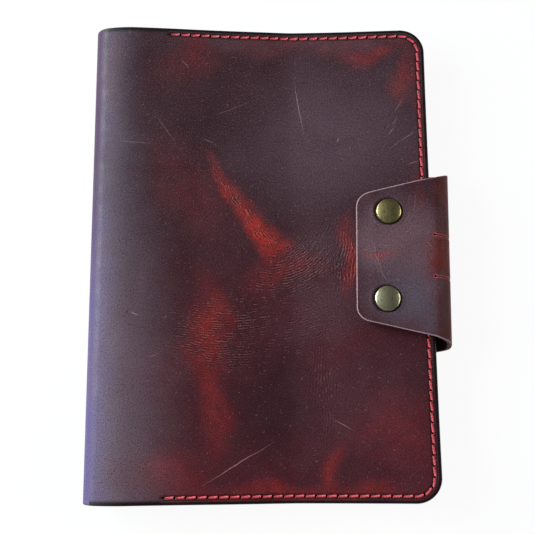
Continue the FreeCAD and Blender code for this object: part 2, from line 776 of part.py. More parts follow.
def build_pieces(document):
    """Every separate piece of the cover, in the order of assembly."""
    turn = "Sizes.spine_strip_angle"
    pieces = [
        add_back_leather(document),
        add_back_pocket_panel(document),
        add_back_seam_thread(document),
        add_spine_strip(document, "spine_leather_lower", "0", turn),
        add_spine_strip(document, "spine_leather_middle", turn, f"180 - {turn}"),
        add_spine_strip(document, "spine_leather_upper", f"180 - {turn}", "180"),
        add_front_leather(document),
        add_front_pocket_panel(document),
        add_front_seam_thread(document),
        add_fold_end_strip(
            document, "strap_fold_lower", on_lower_fold,
            "Layout.back_root_half", "Layout.fold_lower_half", LEFT,
        ),
        add_fold_middle_strip(document),
        add_fold_end_strip(
            document, "strap_fold_upper", on_upper_fold,
            "Layout.flap_root_half", "Layout.fold_upper_half", RIGHT,
        ),
        add_strap_flap(document),
    ]
    for position, snap_y in (("upper", "Layout.snap_y"), ("lower", "-Layout.snap_y")):
        pieces += [
            add_snap_cap(document, f"snap_cap_{position}", snap_y),
            add_snap_socket(document, f"snap_socket_{position}", snap_y),
            add_snap_spring(document, f"snap_spring_{position}", snap_y),
            add_snap_stud(document, f"snap_stud_{position}", snap_y),
            add_snap_eyelet(document, f"snap_eyelet_{position}", snap_y),
        ]
    return pieces


def check_document(document, pieces):
    """Stop before anything is written if a feature failed, a cut took nothing or a solid is bad."""
    for item in document.Objects:
        if "Invalid" in item.State or "Error" in item.State:
            raise RuntimeError(f"{item.Label} failed: {item.State}")
        if item.TypeId == "PartDesign::Pocket" and item.Shape.Volume >= item.BaseFeature.Shape.Volume:
            raise RuntimeError(f"{item.Label} cut nothing")
    for piece in pieces:
        if piece.Shape.isNull() or not piece.Shape.isValid():
            raise RuntimeError(f"{piece.Label} has no valid shape")


def main():
    document = FreeCAD.newDocument("LeatherNotebookCover")
    add_sizes(document)
    add_layout(document)
    pieces = build_pieces(document)
    document.recompute()
    check_document(document, pieces)
    os.makedirs("parts", exist_ok=True)
    for piece in pieces:
        piece.Shape.exportStep(f"parts/{piece.Label}.step")
        print(f"{piece.Label}: {piece.Shape.Volume:.1f} mm3, {len(piece.Shape.Solids)} solid(s)")


main()
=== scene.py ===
"""Leather notebook cover: the finished look of every piece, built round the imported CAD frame.

Metres, in the frame of the CAD model: X from the spine to the fore-edge, Y towards the head of the
book, Z up from the table. The pieces follow in the order in which the cover is made: the outer
leather, the pocket panels, the seams, the snaps, then the table, the light and the camera.
"""
import math

import bpy
import numpy as np
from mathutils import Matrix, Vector
from mathutils.geometry import delaunay_2d_cdt


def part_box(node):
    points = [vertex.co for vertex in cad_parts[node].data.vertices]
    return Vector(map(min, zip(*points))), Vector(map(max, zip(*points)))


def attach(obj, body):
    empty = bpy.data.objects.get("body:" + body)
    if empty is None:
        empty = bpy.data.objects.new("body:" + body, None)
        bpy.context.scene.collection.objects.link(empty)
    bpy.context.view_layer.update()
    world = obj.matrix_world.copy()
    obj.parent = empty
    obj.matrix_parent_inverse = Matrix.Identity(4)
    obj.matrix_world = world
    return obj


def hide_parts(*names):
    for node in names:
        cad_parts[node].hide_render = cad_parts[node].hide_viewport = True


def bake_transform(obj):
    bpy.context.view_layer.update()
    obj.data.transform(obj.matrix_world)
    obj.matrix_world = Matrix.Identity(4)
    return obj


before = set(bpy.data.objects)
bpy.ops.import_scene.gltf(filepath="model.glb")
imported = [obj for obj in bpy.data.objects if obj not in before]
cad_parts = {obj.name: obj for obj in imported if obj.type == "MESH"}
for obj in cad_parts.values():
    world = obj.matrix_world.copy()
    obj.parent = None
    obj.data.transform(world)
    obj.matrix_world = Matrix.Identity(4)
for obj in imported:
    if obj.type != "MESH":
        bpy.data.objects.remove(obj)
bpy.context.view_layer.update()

MM = 0.001

# ---------------------------------------------------------------------------------------------
# The outer leather. One sheet of waxed pull-up cowhide, 2 mm thick, makes the strap, the back, the
# spine and the front. It is cut flat and bent by hand, so each point of it is given by u, its
# length along the sheet from the strap's tip, and by v, its place along the spine.
# ---------------------------------------------------------------------------------------------

SPINE_INSET = 0.6 * MM  # from the CAD model's spine, because the wall bows out from here

back_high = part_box("back_leather")[1]
flap_low, flap_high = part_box("strap_flap")
spine_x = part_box("spine_leather_middle")[0].x + SPINE_INSET
fold_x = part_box("strap_fold_middle")[1].x
crest_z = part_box("spine_leather_upper")[1].z
front_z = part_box("snap_stud_upper")[0].z

LEATHER = back_high.z
EDGE_X = back_high.x
EDGE_V = back_high.y
TIP_X = flap_low.x
STRAP_Z = flap_high.z
FOLD_RADIUS = fold_x - EDGE_X
CORNER_RADIUS = 12.0 * MM

# the spine's section: a bend up off the back, a wall that bows out by BOW at each end, a bend onto
# the crest, which leads in over LEAD, and a slope that falls at FALL to the flat of the front
LOW_RADIUS = 9.0 * MM
TOP_RADIUS = 9.5 * MM
CREST_RADIUS = 40.0 * MM
FOOT_RADIUS = 45.0 * MM
CREST_RISE = 1.6 * MM
BOW = math.radians(7)
LEAD = math.radians(12)
FALL = math.radians(7.4)

crest_top = crest_z + CREST_RISE
wall_height = (crest_top - LOW_RADIUS * (1 - math.sin(BOW))
               - TOP_RADIUS * (math.cos(LEAD) - math.sin(BOW))
               - CREST_RADIUS * (1 - math.cos(LEAD)))
wall_length = wall_height * BOW / math.sin(BOW)
wall_bow = wall_length / (2 * BOW) * (1 - math.cos(BOW))
bend_x = spine_x + wall_bow + LOW_RADIUS * math.cos(BOW)
fall_height = crest_top - front_z - (CREST_RADIUS + FOOT_RADIUS) * (1 - math.cos(FALL))
fall_length = fall_height / math.sin(FALL)
flat_x = (spine_x + wall_bow + TOP_RADIUS * (math.cos(BOW) - math.sin(LEAD))
          + CREST_RADIUS * math.sin(LEAD) + (CREST_RADIUS + FOOT_RADIUS) * math.sin(FALL)
          + fall_length * math.cos(FALL))


def bend(start, heading, runs):
    """Line made of runs, each (length, turn), as a function of the length along it.

    On a run the heading turns evenly. A stretch of it that turns by t moves the point by its length
    times sin(t/2)/(t/2), along its mean heading. Gives the point, and the normal to its left.
    """
    lengths = np.array([length for length, turn in runs])
    turns = np.array([turn for length, turn in runs])
    begins = np.concatenate([[0.0], np.cumsum(lengths)])
    headings = heading + np.concatenate([[0.0], np.cumsum(turns)])

    def chord(length, turn, start_heading):
        reach = length * np.sinc(turn / 2 / np.pi)
        mean = start_heading + turn / 2
        return np.stack([reach * np.cos(mean), reach * np.sin(mean)], axis=-1)

    corners = np.vstack([start, np.cumsum(chord(lengths, turns, headings[:-1]), axis=0) + start])

    def at(distance):
        distance = np.asarray(distance, float)
        run = np.clip(np.searchsorted(begins, distance, side="right") - 1, 0, len(lengths) - 1)
        along = distance - begins[run]
        turn = turns[run] * along / lengths[run]
        point = corners[run] + chord(along, turn, headings[run])
        angle = headings[run] + turn
        return point, np.stack([-np.sin(angle), np.cos(angle)], axis=-1)

    return at, begins


QUARTER = math.pi / 2
sheet_section, sheet_marks = bend((TIP_X, STRAP_Z), 0.0, [
    (EDGE_X - TIP_X, 0.0),
    (QUARTER * FOLD_RADIUS, -QUARTER),
    (STRAP_Z - 2 * FOLD_RADIUS, 0.0),
    (QUARTER * FOLD_RADIUS, -QUARTER),
    (EDGE_X - bend_x, 0.0),
    (LOW_RADIUS * (QUARTER - BOW), BOW - QUARTER),
    (wall_length, -2 * BOW),
    (TOP_RADIUS * (QUARTER - BOW - LEAD), BOW + LEAD - QUARTER),
    (CREST_RADIUS * (LEAD + FALL), -LEAD - FALL),
    (fall_length, 0.0),
    (FOOT_RADIUS * FALL, FALL),
    (EDGE_X - flat_x, 0.0),
])
U_FOLD_TOP, U_FOLD_SIDE, U_FOLD_LOW, U_BACK, U_SPINE, U_WALL, U_TOP, U_CREST = sheet_marks[1:9]
U_END = sheet_marks[-1]
U_MIDDLE = (U_WALL + U_TOP) / 2

# the seam runs round the head, the fore-edge and the tail, in a U that is the same on both boards
SEAM_INSET = 3.3 * MM
SEAM_LENGTHWISE = 114.5 * MM
STITCHES = 94
seam_radius = CORNER_RADIUS - SEAM_INSET
seam_line, seam_marks = bend((CORNER_RADIUS + SEAM_LENGTHWISE, EDGE_V - SEAM_INSET), math.pi, [
    (SEAM_LENGTHWISE, 0.0),
    (QUARTER * seam_radius, QUARTER),
    (2 * (EDGE_V - CORNER_RADIUS), 0.0),
    (QUARTER * seam_radius, QUARTER),
    (SEAM_LENGTHWISE, 0.0),
])
SEAM_LENGTH = seam_marks[-1]
PITCH = SEAM_LENGTH / STITCHES


def smooth_step(value):
    """0 below 0, 1 above 1, and 3t^2 - 2t^3 between."""
    t = np.clip(value, 0.0, 1.0)
    return t * t * (3 - 2 * t)


def bell(distance, width):
    """exp(-(distance / width)^2): a soft bump."""
    return np.exp(-((distance / width) ** 2))


def inset_of(reach, v):
    """Distance in from a board's cut edge, for a point reach in from the fore-edge."""
    past_x = CORNER_RADIUS - reach
    past_v = np.abs(v) - (EDGE_V - CORNER_RADIUS)
    in_corner = (past_x > 0) & (past_v > 0)
    straight = np.minimum(reach, EDGE_V - np.abs(v))
    return np.where(in_corner, CORNER_RADIUS - np.hypot(past_x, past_v), straight)


def seam_place(reach, v):
    """Length along the seam beside a board's point: the inverse of seam_line."""
    side = 2 * (EDGE_V - CORNER_RADIUS)
    arc = QUARTER * seam_radius
    angle = np.arctan2(np.abs(v) - (EDGE_V - CORNER_RADIUS), CORNER_RADIUS - reach)
    beside = SEAM_LENGTHWISE + arc + side / 2 - np.abs(v)
    turning = SEAM_LENGTHWISE + arc * np.clip(1 - angle / QUARTER, 0, 1)
    along = SEAM_LENGTHWISE + CORNER_RADIUS - reach
    on_head = np.where(angle >= QUARTER, along, np.where(angle > 0, turning, beside))
    return np.where(v >= 0, on_head, SEAM_LENGTH - on_head)


def seam_press(reach, v):
    """How far the seam pulls the face in, and how much painted shade lies on it.

    A shallow channel runs along it, with a dimple at each stitch hole. Painted shade darkens the
    holes, and a painted shadow line runs at each side of the channel, beside the stitches.
    """
    across = inset_of(reach, v) - SEAM_INSET
    place = seam_place(reach, v)
    off_hole = (place / PITCH - np.round(place / PITCH)) * PITCH
    sewn = smooth_step((CORNER_RADIUS + SEAM_LENGTHWISE - reach) / (0.6 * MM) + 1.0)
    channel = 0.22 * MM * bell(across, 0.9 * MM)
    pits = 0.75 * MM * bell(np.hypot(across, 0.8 * off_hole), 0.42 * MM)
    hole_shade = bell(np.hypot(across, 0.8 * off_hole), 0.5 * MM)
    side_shadow = 0.55 * bell(np.abs(across) - 0.95 * MM, 0.45 * MM)
    return sewn * (channel + pits), sewn * np.maximum(hole_shade, side_shadow)


cap_low, cap_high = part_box("snap_cap_upper")
SNAP_X = (cap_low.x + cap_high.x) / 2
SNAP_V = (cap_low.y + cap_high.y) / 2
CAP_RADIUS = (cap_high.x - cap_low.x) / 2
CAP_SHIFT = (0.6 * MM, -1.0 * MM)  # along X, of the cap at the head and of the one at the tail


def drift(u, v):
    """Slack of a hand-made cover, along X: the front overhangs the back a little, more at the tail.

    The strap was folded a degree askew and stands off the fore-edge, so its fold bulges out.
    """
    front = np.clip((u - U_CREST) / (U_END - U_CREST), 0, 1) * (1.5 * MM - 0.0065 * v)
    fold = 1.65 * MM + 0.013 * v
    tip = -0.4 * MM + 0.015 * v
    flap = tip + (fold - tip) * np.clip(u / U_FOLD_TOP, 0, 1)
    strap = np.where(u < U_FOLD_TOP, flap, fold * smooth_step((U_BACK - u) / (12 * MM)))
    return np.where(u < U_BACK, strap, front)


def slip(u, v):
    """Shift along Y: the strap's lower half doesn't leave the back square, and its flap was cut
    wide of the mark, 2 mm at the tail and 0.8 mm at the head.
    """
    wrapped = smooth_step((u - U_FOLD_TOP + 9 * MM) / (U_FOLD_SIDE - U_FOLD_TOP + 14 * MM))
    tail_side = smooth_step((-v - 11 * MM) / (10 * MM))
    head_side = smooth_step((v - 11 * MM) / (10 * MM)) * (1 - wrapped)
    shift = 0.8 * MM * head_side - 2.0 * MM * np.maximum(wrapped, tail_side)
    return shift * smooth_step(1 - (u - U_BACK) / (14 * MM)) * bell(v, 80 * MM)


def snap_distance(u, v):
    """Distance outside the rim of the nearer cap. Hand-set caps are a little out of line."""
    snap_u = SNAP_X - TIP_X + np.where(v > 0, CAP_SHIFT[0], CAP_SHIFT[1])
    return np.hypot(u + drift(u, v) - snap_u, np.abs(v + slip(u, v)) - SNAP_V) - CAP_RADIUS


def sway(u, v):
    """Broad unevenness of the sheet, outwards: hand-bent leather is never quite flat.

    The front's two free corners curl up, the front has slow hollows, and the strap's tip droops
    towards the front beyond its snaps. The back stays flat, because it lies on the table.
    """
    on_front = smooth_step((u - U_CREST) / (20 * MM))
    head = np.hypot(U_END - u, EDGE_V - np.abs(v))
    curl = 1.2 * MM * bell(head, 26 * MM)
    slow = 0.16 * MM * np.sin(u / (17 * MM) + 1.3) * np.sin(v / (23 * MM) + 0.4)
    slow = slow + 0.10 * MM * np.sin(u / (9 * MM) + v / (14 * MM))
    droop = -1.1 * MM * smooth_step((SNAP_X - TIP_X - CAP_RADIUS - u) / (9 * MM))
    off_cap = snap_distance(u, v)
    dent = 0.16 * MM * bell(off_cap - 1.3 * MM, 0.7 * MM) - 0.5 * MM * bell(off_cap, 0.55 * MM)
    on_flap = u < U_FOLD_TOP
    return np.where(on_flap, droop + dent, on_front * (curl + slow))


def sheet_face(u, v, depth=0.0):
    """Point of the outer leather, at a depth under its grain side.

    It is the section's point at u, moved along the section's normal, along X and along Y.
    """
    point, normal = sheet_section(u)
    out = sway(u, v) - depth
    return np.stack([
        point[..., 0] + normal[..., 0] * out + drift(u, v),
        v + slip(u, v),
        point[..., 1] + normal[..., 1] * out,
    ], axis=-1)


def outer_face(u, v):
    """Grain side of the sheet, with the press of the seams on both boards."""
    front_press = seam_press(U_END - u, v)[0]
    back_press = seam_press(u - U_BACK, v)[0]
    press = np.where(u > U_CREST, front_press, np.where(u > U_BACK, back_press, 0.0))
    return sheet_face(u, v, press)


def face_normals(face, u, v):
    """Unit normals of a face: the cross product of its central differences in u and v."""
    step = 0.04 * MM
    along = face(u + step, v) - face(u - step, v)
    across = face(u, v + step) - face(u, v - step)
    normal = np.cross(along, across)
    return normal / np.linalg.norm(normal, axis=-1, keepdims=True)


# ---------------------------------------------------------------------------------------------
# Cutting and bending. Each piece of leather starts as a flat plan of triangles in u and v, close
# together where a seam presses it. The plan is bent, given its thickness and rounded along its cut
# edges. An edge where the sheet runs on into the next piece stays square.
# ---------------------------------------------------------------------------------------------

EDGE_ROUND = 0.5 * MM  # radius of a cut edge, and how far the plan keeps in from it
ROOT_INSET = 0.35 * MM  # how far a board's plan keeps in from the side of the strap's root
RING_STEPS = 3  # rings of points round a quarter of a rounded edge
TOUCH = 1e-9  # how near an end a point counts as on it
edge_lattice = np.linspace(-(EDGE_V - EDGE_ROUND), EDGE_V - EDGE_ROUND, 78)


def cut_plan(points, edges, keep):
    """Triangles over a plan's points that hold its edges: those whose middle keep() accepts."""
    in_mm = [tuple(point) for point in np.asarray(points) / MM]
    out = delaunay_2d_cdt(in_mm, [tuple(int(i) for i in edge) for edge in edges], [], 0, 1e-7)
    plan = np.array(out[0]) * MM
    triangles = np.array(out[2])
    a, b, c = (plan[triangles[:, i]] for i in range(3))
    area = (b[:, 0] - a[:, 0]) * (c[:, 1] - a[:, 1]) - (b[:, 1] - a[:, 1]) * (c[:, 0] - a[:, 0])
    triangles = np.where(area[:, None] < 0, triangles[:, ::-1], triangles)
    middle = (a + b + c) / 3
    good = (np.abs(area) > 1e-12) & keep(middle[:, 0], middle[:, 1])
    return plan[:, 0], plan[:, 1], triangles[good]


def grid_plan(u_lines, v_lines):
    """Triangles over a rectangle of lines in u and v."""
    u, v = (line.ravel() for line in np.meshgrid(u_lines, v_lines, indexing="ij"))
    index = np.arange(u.size).reshape(len(u_lines), len(v_lines))
    a, b, c, d = index[:-1, :-1], index[1:, :-1], index[1:, 1:], index[:-1, 1:]
    return u, v, np.concatenate([
        np.stack([a, b, c], axis=-1).reshape(-1, 3),
        np.stack([a, c, d], axis=-1).reshape(-1, 3),
    ])


def loop_edges(first, count):
    """Edges of a closed loop of points that were listed in a row."""
    index = first + np.arange(count)
    return np.stack([index, first + (np.arange(count) + 1) % count], axis=-1)


def joined_at(low=-np.inf, high=np.inf):
    """Test that is true at a piece's low end and at its high one, where the sheet runs on.

    The triangulation moves points by more than TOUCH. That puts the spine end of the front and the
    root end of the strap's first bend just past it, so these two ends are rounded like cut ones.
    The lip lies inside the piece that it meets.
    """
    return lambda u, v: (u < low + TOUCH) | (u > high - TOUCH)


def board_plan(length, lines, fine, strap_root=0.0):
    """Plan of a board in reach from its fore-edge and v, rounded at its two free corners.

    Rows follow the seam at several insets from the cut edge, with close points at each stitch hole
    if fine, and a plain lattice fills the rest. strap_root is half the width over which the strap
    runs on at reach 0.
    """
    if fine:
        steps = [0, .05, .1, .16, .26, .38, .5, .62, .74, .84, .9, .95]
        insets = [1.1, 1.7, 2.1, 2.4, 2.65, 2.85, 3, 3.15, 3.35, 3.6, 3.9, 4.4, 5.2, 6.2]
    else:
        steps = [0, .25, .5, .75]
        insets = [1.5, 3.0, 5.0]
    insets = np.array(insets) * MM
    places = ((np.arange(STITCHES)[:, None] + np.array(steps)).ravel()) * PITCH
    point, outward = seam_line(np.append(places, SEAM_LENGTH))
    outward = -outward
    seam_end = CORNER_RADIUS + SEAM_LENGTHWISE

    # the outline: head, rim beside the seam, tail and the end beside the spine
    rim = point + outward * (SEAM_INSET - EDGE_ROUND)
    free = lines[lines > seam_end + 1.5 * MM]
    head = np.stack([free[::-1], np.full(len(free), EDGE_V - EDGE_ROUND)], axis=-1)
    tail = head[::-1] * [1, -1]
    end = np.stack([np.full(len(edge_lattice), length), edge_lattice], axis=-1)
    if strap_root:
        side = strap_root - ROOT_INSET
        root = np.linspace(side, -side, 31)
        root = np.stack([np.zeros_like(root), root], axis=-1)
        notch = np.array([[EDGE_ROUND, side]])
        middle = np.abs(rim[:, 1]) < side
        first = np.argmax(middle)
        last = len(middle) - np.argmax(middle[::-1])
        rim = np.vstack([rim[:first], notch, root, notch * [1, -1], rim[last:]])
    outline = np.vstack([head, rim, tail, end])

    rows = np.vstack([point + outward * (SEAM_INSET - inset) for inset in insets])
    reach, v = (line.ravel() for line in np.meshgrid(lines, edge_lattice, indexing="ij"))
    clear = np.where(reach < seam_end + 1.0 * MM, insets[-1] + 1.2 * MM, 1.5 * MM)
    inner = (inset_of(reach, v) > clear) & (reach < length - 0.1 * MM)
    lattice = np.stack([reach[inner], v[inner]], axis=-1)

    def keep(reach, v):
        return (inset_of(reach, v) > 0.9 * EDGE_ROUND) | (np.abs(v) < strap_root - ROOT_INSET)

    return cut_plan(np.vstack([outline, rows, lattice]), loop_edges(0, len(outline)), keep)


def add_piece(name, mesh, *finishes):
    """Object that shows a mesh in its finishes."""
    for finish in finishes:
        mesh.materials.append(finish)
    piece = bpy.data.objects.new(name, mesh)
    bpy.context.scene.collection.objects.link(piece)
    return piece


def add_leather(name, plan, face, thickness, joined, finishes, traits=None):
    """Bends a plan, gives it its thickness and rounds its cut edges.

    The inner side is the face moved in by the thickness along its normals. A cut edge is carried
    from the face round a quarter circle, down the wall and round another quarter circle to the
    inner side. finishes are the materials of the face, the edge and the inner side. traits are
    further values of each point, kept for the materials.
    """
    u, v, triangles = plan
    count = len(u)
    outer = face(u, v)
    normal = face_normals(face, u, v)
    inner = outer - thickness * normal

    # the open edges run from a to b; way points out of the leather at each end of a cut one
    start, finish = triangles.ravel(), np.roll(triangles, -1, axis=1).ravel()
    open_edge = ~np.isin(start * count + finish, finish * count + start)
    a, b = start[open_edge], finish[open_edge]
    cut = ~(joined(u[a], v[a]) & joined(u[b], v[b]))
    side = np.cross(outer[b] - outer[a], normal[a] + normal[b])
    side /= np.linalg.norm(side, axis=1, keepdims=True)
    way = np.zeros((count, 3))
    touching = np.zeros(count)
    for end in (a[cut], b[cut]):
        np.add.at(way, end, side[cut])
        np.add.at(touching, end, 1)
    rounded = touching > 0
    way[rounded] /= touching[rounded, None]
    way[rounded] /= np.maximum((way[rounded] ** 2).sum(axis=1, keepdims=True), 0.3)
    rim = np.unique(np.concatenate([a, b]))
    ring_of = np.full(count, -1)
    ring_of[rim] = np.arange(len(rim))

    # rings of points round the edge, from the face to the inner side, and their normals
    angles = np.arange(1, RING_STEPS + 1) / RING_STEPS * QUARTER
    turns = np.concatenate([angles, angles[::-1]])
    depth = np.concatenate([EDGE_ROUND * (1 - np.cos(angles)),
                            thickness - EDGE_ROUND * (1 - np.cos(angles[::-1]))])
    tilt = np.concatenate([np.cos(angles), -np.cos(angles[::-1])])
    rings = outer[rim] + EDGE_ROUND * np.sin(turns)[:, None, None] * way[rim]
    rings = rings - depth[:, None, None] * normal[rim]
    ring_normals = tilt[:, None, None] * normal[rim] + np.sin(turns)[:, None, None] * way[rim]

    # the wall between the rings; at a joined end it is square, and its faces shut to triangles
    ring_count = 2 * RING_STEPS
    inner_first = count + ring_count * len(rim)
    levels = [rim]
    for level in range(ring_count):
        ring = count + level * len(rim) + np.arange(len(rim))
        square = rim if level < RING_STEPS else rim + inner_first
        levels.append(np.where(rounded[rim], ring, square))
    levels.append(rim + inner_first)
    from_a, from_b = ring_of[a], ring_of[b]
    walls = np.vstack([
        np.stack([upper[from_b], upper[from_a], lower[from_a], lower[from_b]], axis=-1)
        for upper, lower in zip(levels, levels[1:])
    ])
    first_shut = walls[:, 1] == walls[:, 2]
    last_shut = walls[:, 0] == walls[:, 3]
    wall_quads = walls[~first_shut & ~last_shut]
    wall_triangles = np.vstack([
        walls[first_shut & ~last_shut][:, [0, 1, 3]], walls[~first_shut & last_shut][:, [0, 1, 2]],
    ])

    # the mesh, without the points that no face uses; source is each point's place in the plan
    parts = (triangles, wall_quads, wall_triangles, triangles[:, ::-1] + inner_first)
    points = np.vstack([outer, rings.reshape(-1, 3), inner])
    normals = np.vstack([normal, ring_normals.reshape(-1, 3), -normal])
    source = np.concatenate([np.arange(count), np.tile(rim, ring_count), np.arange(count)])
    used = np.zeros(len(points), bool)
    for part in parts:
        used[part.ravel()] = True
    source = source[used]
    renumbered = np.cumsum(used) - 1
    mesh = bpy.data.meshes.new(name)
    faces = sum((renumbered[part].tolist() for part in parts), [])
    mesh.from_pydata(points[used].tolist(), [], faces)
    slots = np.repeat([0, 1, 1, 2], [len(part) for part in parts])
    mesh.polygons.foreach_set("material_index", slots.astype(np.int32))
    mesh.shade_smooth()

    # what the materials read: the place on the sheet, the depth in the edge and the traits
    corner = np.zeros(len(mesh.loops), np.int32)
    mesh.loops.foreach_get("vertex_index", corner)
    layer = mesh.uv_layers.new(name="leather")
    layer.data.foreach_set("uv", np.stack([u[source], v[source]], axis=-1)[corner].ravel())
    deep = np.concatenate([np.zeros(count), np.repeat(depth / thickness, len(rim)), np.ones(count)])
    mesh.attributes.new("deep", "FLOAT", "POINT").data.foreach_set("value", deep[used])
    for trait, values in (traits or {}).items():
        mesh.attributes.new(trait, "FLOAT", "POINT").data.foreach_set("value", values[source])
    unit = normals[used] / np.linalg.norm(normals[used], axis=1, keepdims=True)
    mesh.normals_split_custom_set_from_vertices(unit.tolist())
    return add_piece(name, mesh, *finishes)


# ---------------------------------------------------------------------------------------------
# The leather's finish. Waxed cowhide is dyed dark plum and pulls up red where it has been bent or
# rubbed. The window's reflection is painted on it as a violet sheen along the spine and a grey one
# on the front and the strap. The grain carries fine creases, lighter on their crests, partly
# pull-up and partly painted highlight, with painted shade in their valleys.
# ---------------------------------------------------------------------------------------------


def colour(text):
    """Linear RGBA of an sRGB hex colour."""
    parts = [int(text[i:i + 2], 16) / 255 for i in (0, 2, 4)]
    linear = [p / 12.92 if p <= 0.04045 else ((p + 0.055) / 1.055) ** 2.4 for p in parts]
    return (*linear, 1.0)


def add(tree, kind, inputs=(), **settings):
    """Adds a node. Each of its inputs is given a plain value, or fed from another node's output."""
    made = tree.nodes.new("ShaderNode" + kind)
    for setting, value in settings.items():
        setattr(made, setting, value)
    for name, value in dict(inputs).items():
        if isinstance(value, bpy.types.NodeSocket):
            tree.links.new(value, made.inputs[name])
        else:
            made.inputs[name].default_value = value
    return made


def reckon(tree, operation, *values, clamp=False):
    """Result of one step of arithmetic."""
    return add(tree, "Math", enumerate(values), operation=operation, use_clamp=clamp).outputs[0]


def times(tree, one, other):
    """Product of two values."""
    return reckon(tree, "MULTIPLY", one, other)


def ramp(tree, value, low, high, to_low=0.0, to_high=1.0):
    """Value eased from low to high, as to_low to to_high."""
    given = {"Value": value, "From Min": low, "From Max": high, "To Min": to_low, "To Max": to_high}
    return add(tree, "MapRange", given, interpolation_type="SMOOTHSTEP").outputs[0]


def tinted(tree, share, under, over, blend="MIX"):
    """One colour laid over another by a share."""
    mix = add(tree, "Mix", data_type="RGBA", blend_type=blend)
    for index, value in ((0, share), (6, under), (7, over)):
        if isinstance(value, bpy.types.NodeSocket):
            tree.links.new(value, mix.inputs[index])
        else:
            mix.inputs[index].default_value = value
    return mix.outputs[2]


def layered(tree, under, *layers):
    """Colours laid one over another, each given as (share, colour)."""
    for share, over in layers:
        under = tinted(tree, share, under, over)
    return under


def noise(tree, vector, size, detail=3.0, roughness=0.55):
    """Noise whose lumps are about the given size, in metres."""
    given = {"Vector": vector, "Scale": 0.6 / size, "Detail": detail, "Roughness": roughness}
    return add(tree, "TexNoise", given).outputs["Fac"]


def cells(tree, vector, size, randomness=1.0, **settings):
    """Cells of about the given size, in metres."""
    given = {"Vector": vector, "Scale": 1 / size, "Randomness": randomness}
    return add(tree, "TexVoronoi", given, **settings).outputs


def bumped(tree, height, strength, distance):
    """Relief of a height, as the shader's normal."""
    given = {"Height": height, "Strength": strength, "Distance": distance}
    return add(tree, "Bump", given).outputs[0]


def attribute(tree, name):
    """Value that each point of the mesh carries."""
    return add(tree, "Attribute", attribute_name=name).outputs["Fac"]


def parted(tree, vector):
    """The X, Y and Z of a vector."""
    return add(tree, "SeparateXYZ", {0: vector}).outputs


def patch(tree, vector, place, turn, half_length, half_width):
    """Soft patch, 1 in its middle and 0 past its rim: an oval that is turned on the leather."""
    given = {"Vector": vector, "Location": (*place, 0.0), "Rotation": (0.0, 0.0, turn),
             "Scale": (half_length, half_width, 1.0)}
    oval = add(tree, "Mapping", given, vector_type="TEXTURE").outputs[0]
    reach = add(tree, "VectorMath", {0: oval}, operation="LENGTH").outputs["Value"]
    return ramp(tree, reach, 0.0, 1.0, 1.0, 0.0)


def streak(tree, vector, place, turn, half, wide, taper, bow):
    """Long soft streak, and the distance across it in metres.

    Its half width grows from wide by taper towards its end, and its ends bow sideways by bow.
    """
    given = {"Vector": vector, "Location": (*place, 0.0), "Rotation": (0.0, 0.0, turn)}
    there = parted(tree, add(tree, "Mapping", given, vector_type="TEXTURE").outputs[0])
    run = reckon(tree, "DIVIDE", there[0], half)
    bend = reckon(tree, "POWER", reckon(tree, "ABSOLUTE", run), 2.0)
    side = reckon(tree, "MULTIPLY_ADD", bend, -bow, there[1])
    width = reckon(tree, "MULTIPLY_ADD", run, taper, wide)
    off_line = reckon(tree, "DIVIDE", reckon(tree, "ABSOLUTE", side), width)
    off_middle = ramp(tree, reckon(tree, "ABSOLUTE", run), 0.25, 1.0, 1.0, 0.0)
    return times(tree, ramp(tree, off_line, 0.1, 1.1, 1.0, 0.0), off_middle), side


def most(tree, values):
    """The greatest of several values."""
    top = 0.0
    for value in values:
        top = reckon(tree, "MAXIMUM", top, value)
    return top


def new_material(name, **settings):
    """A material with one Principled shader; settings are its plain sockets."""
    made = bpy.data.materials.new(name)
    made.use_nodes = True
    shader = made.node_tree.nodes["Principled BSDF"]
    for socket, value in settings.items():
        shader.inputs[socket.replace("_", " ")].default_value = value
    return made, made.node_tree, shader


def feed(tree, shader, **outputs):
    """Links outputs to the shader's sockets."""
    for socket, value in outputs.items():
        tree.links.new(value, shader.inputs[socket.replace("_", " ")])


def front_place(x, y):
    """Place on the front, in mm, as u and v along the sheet."""
    return float(U_END - EDGE_X) + x * MM, y * MM


def strap_place(u, v):
    """Place on the strap, in mm, as u and v along the sheet."""
    return u * MM, v * MM
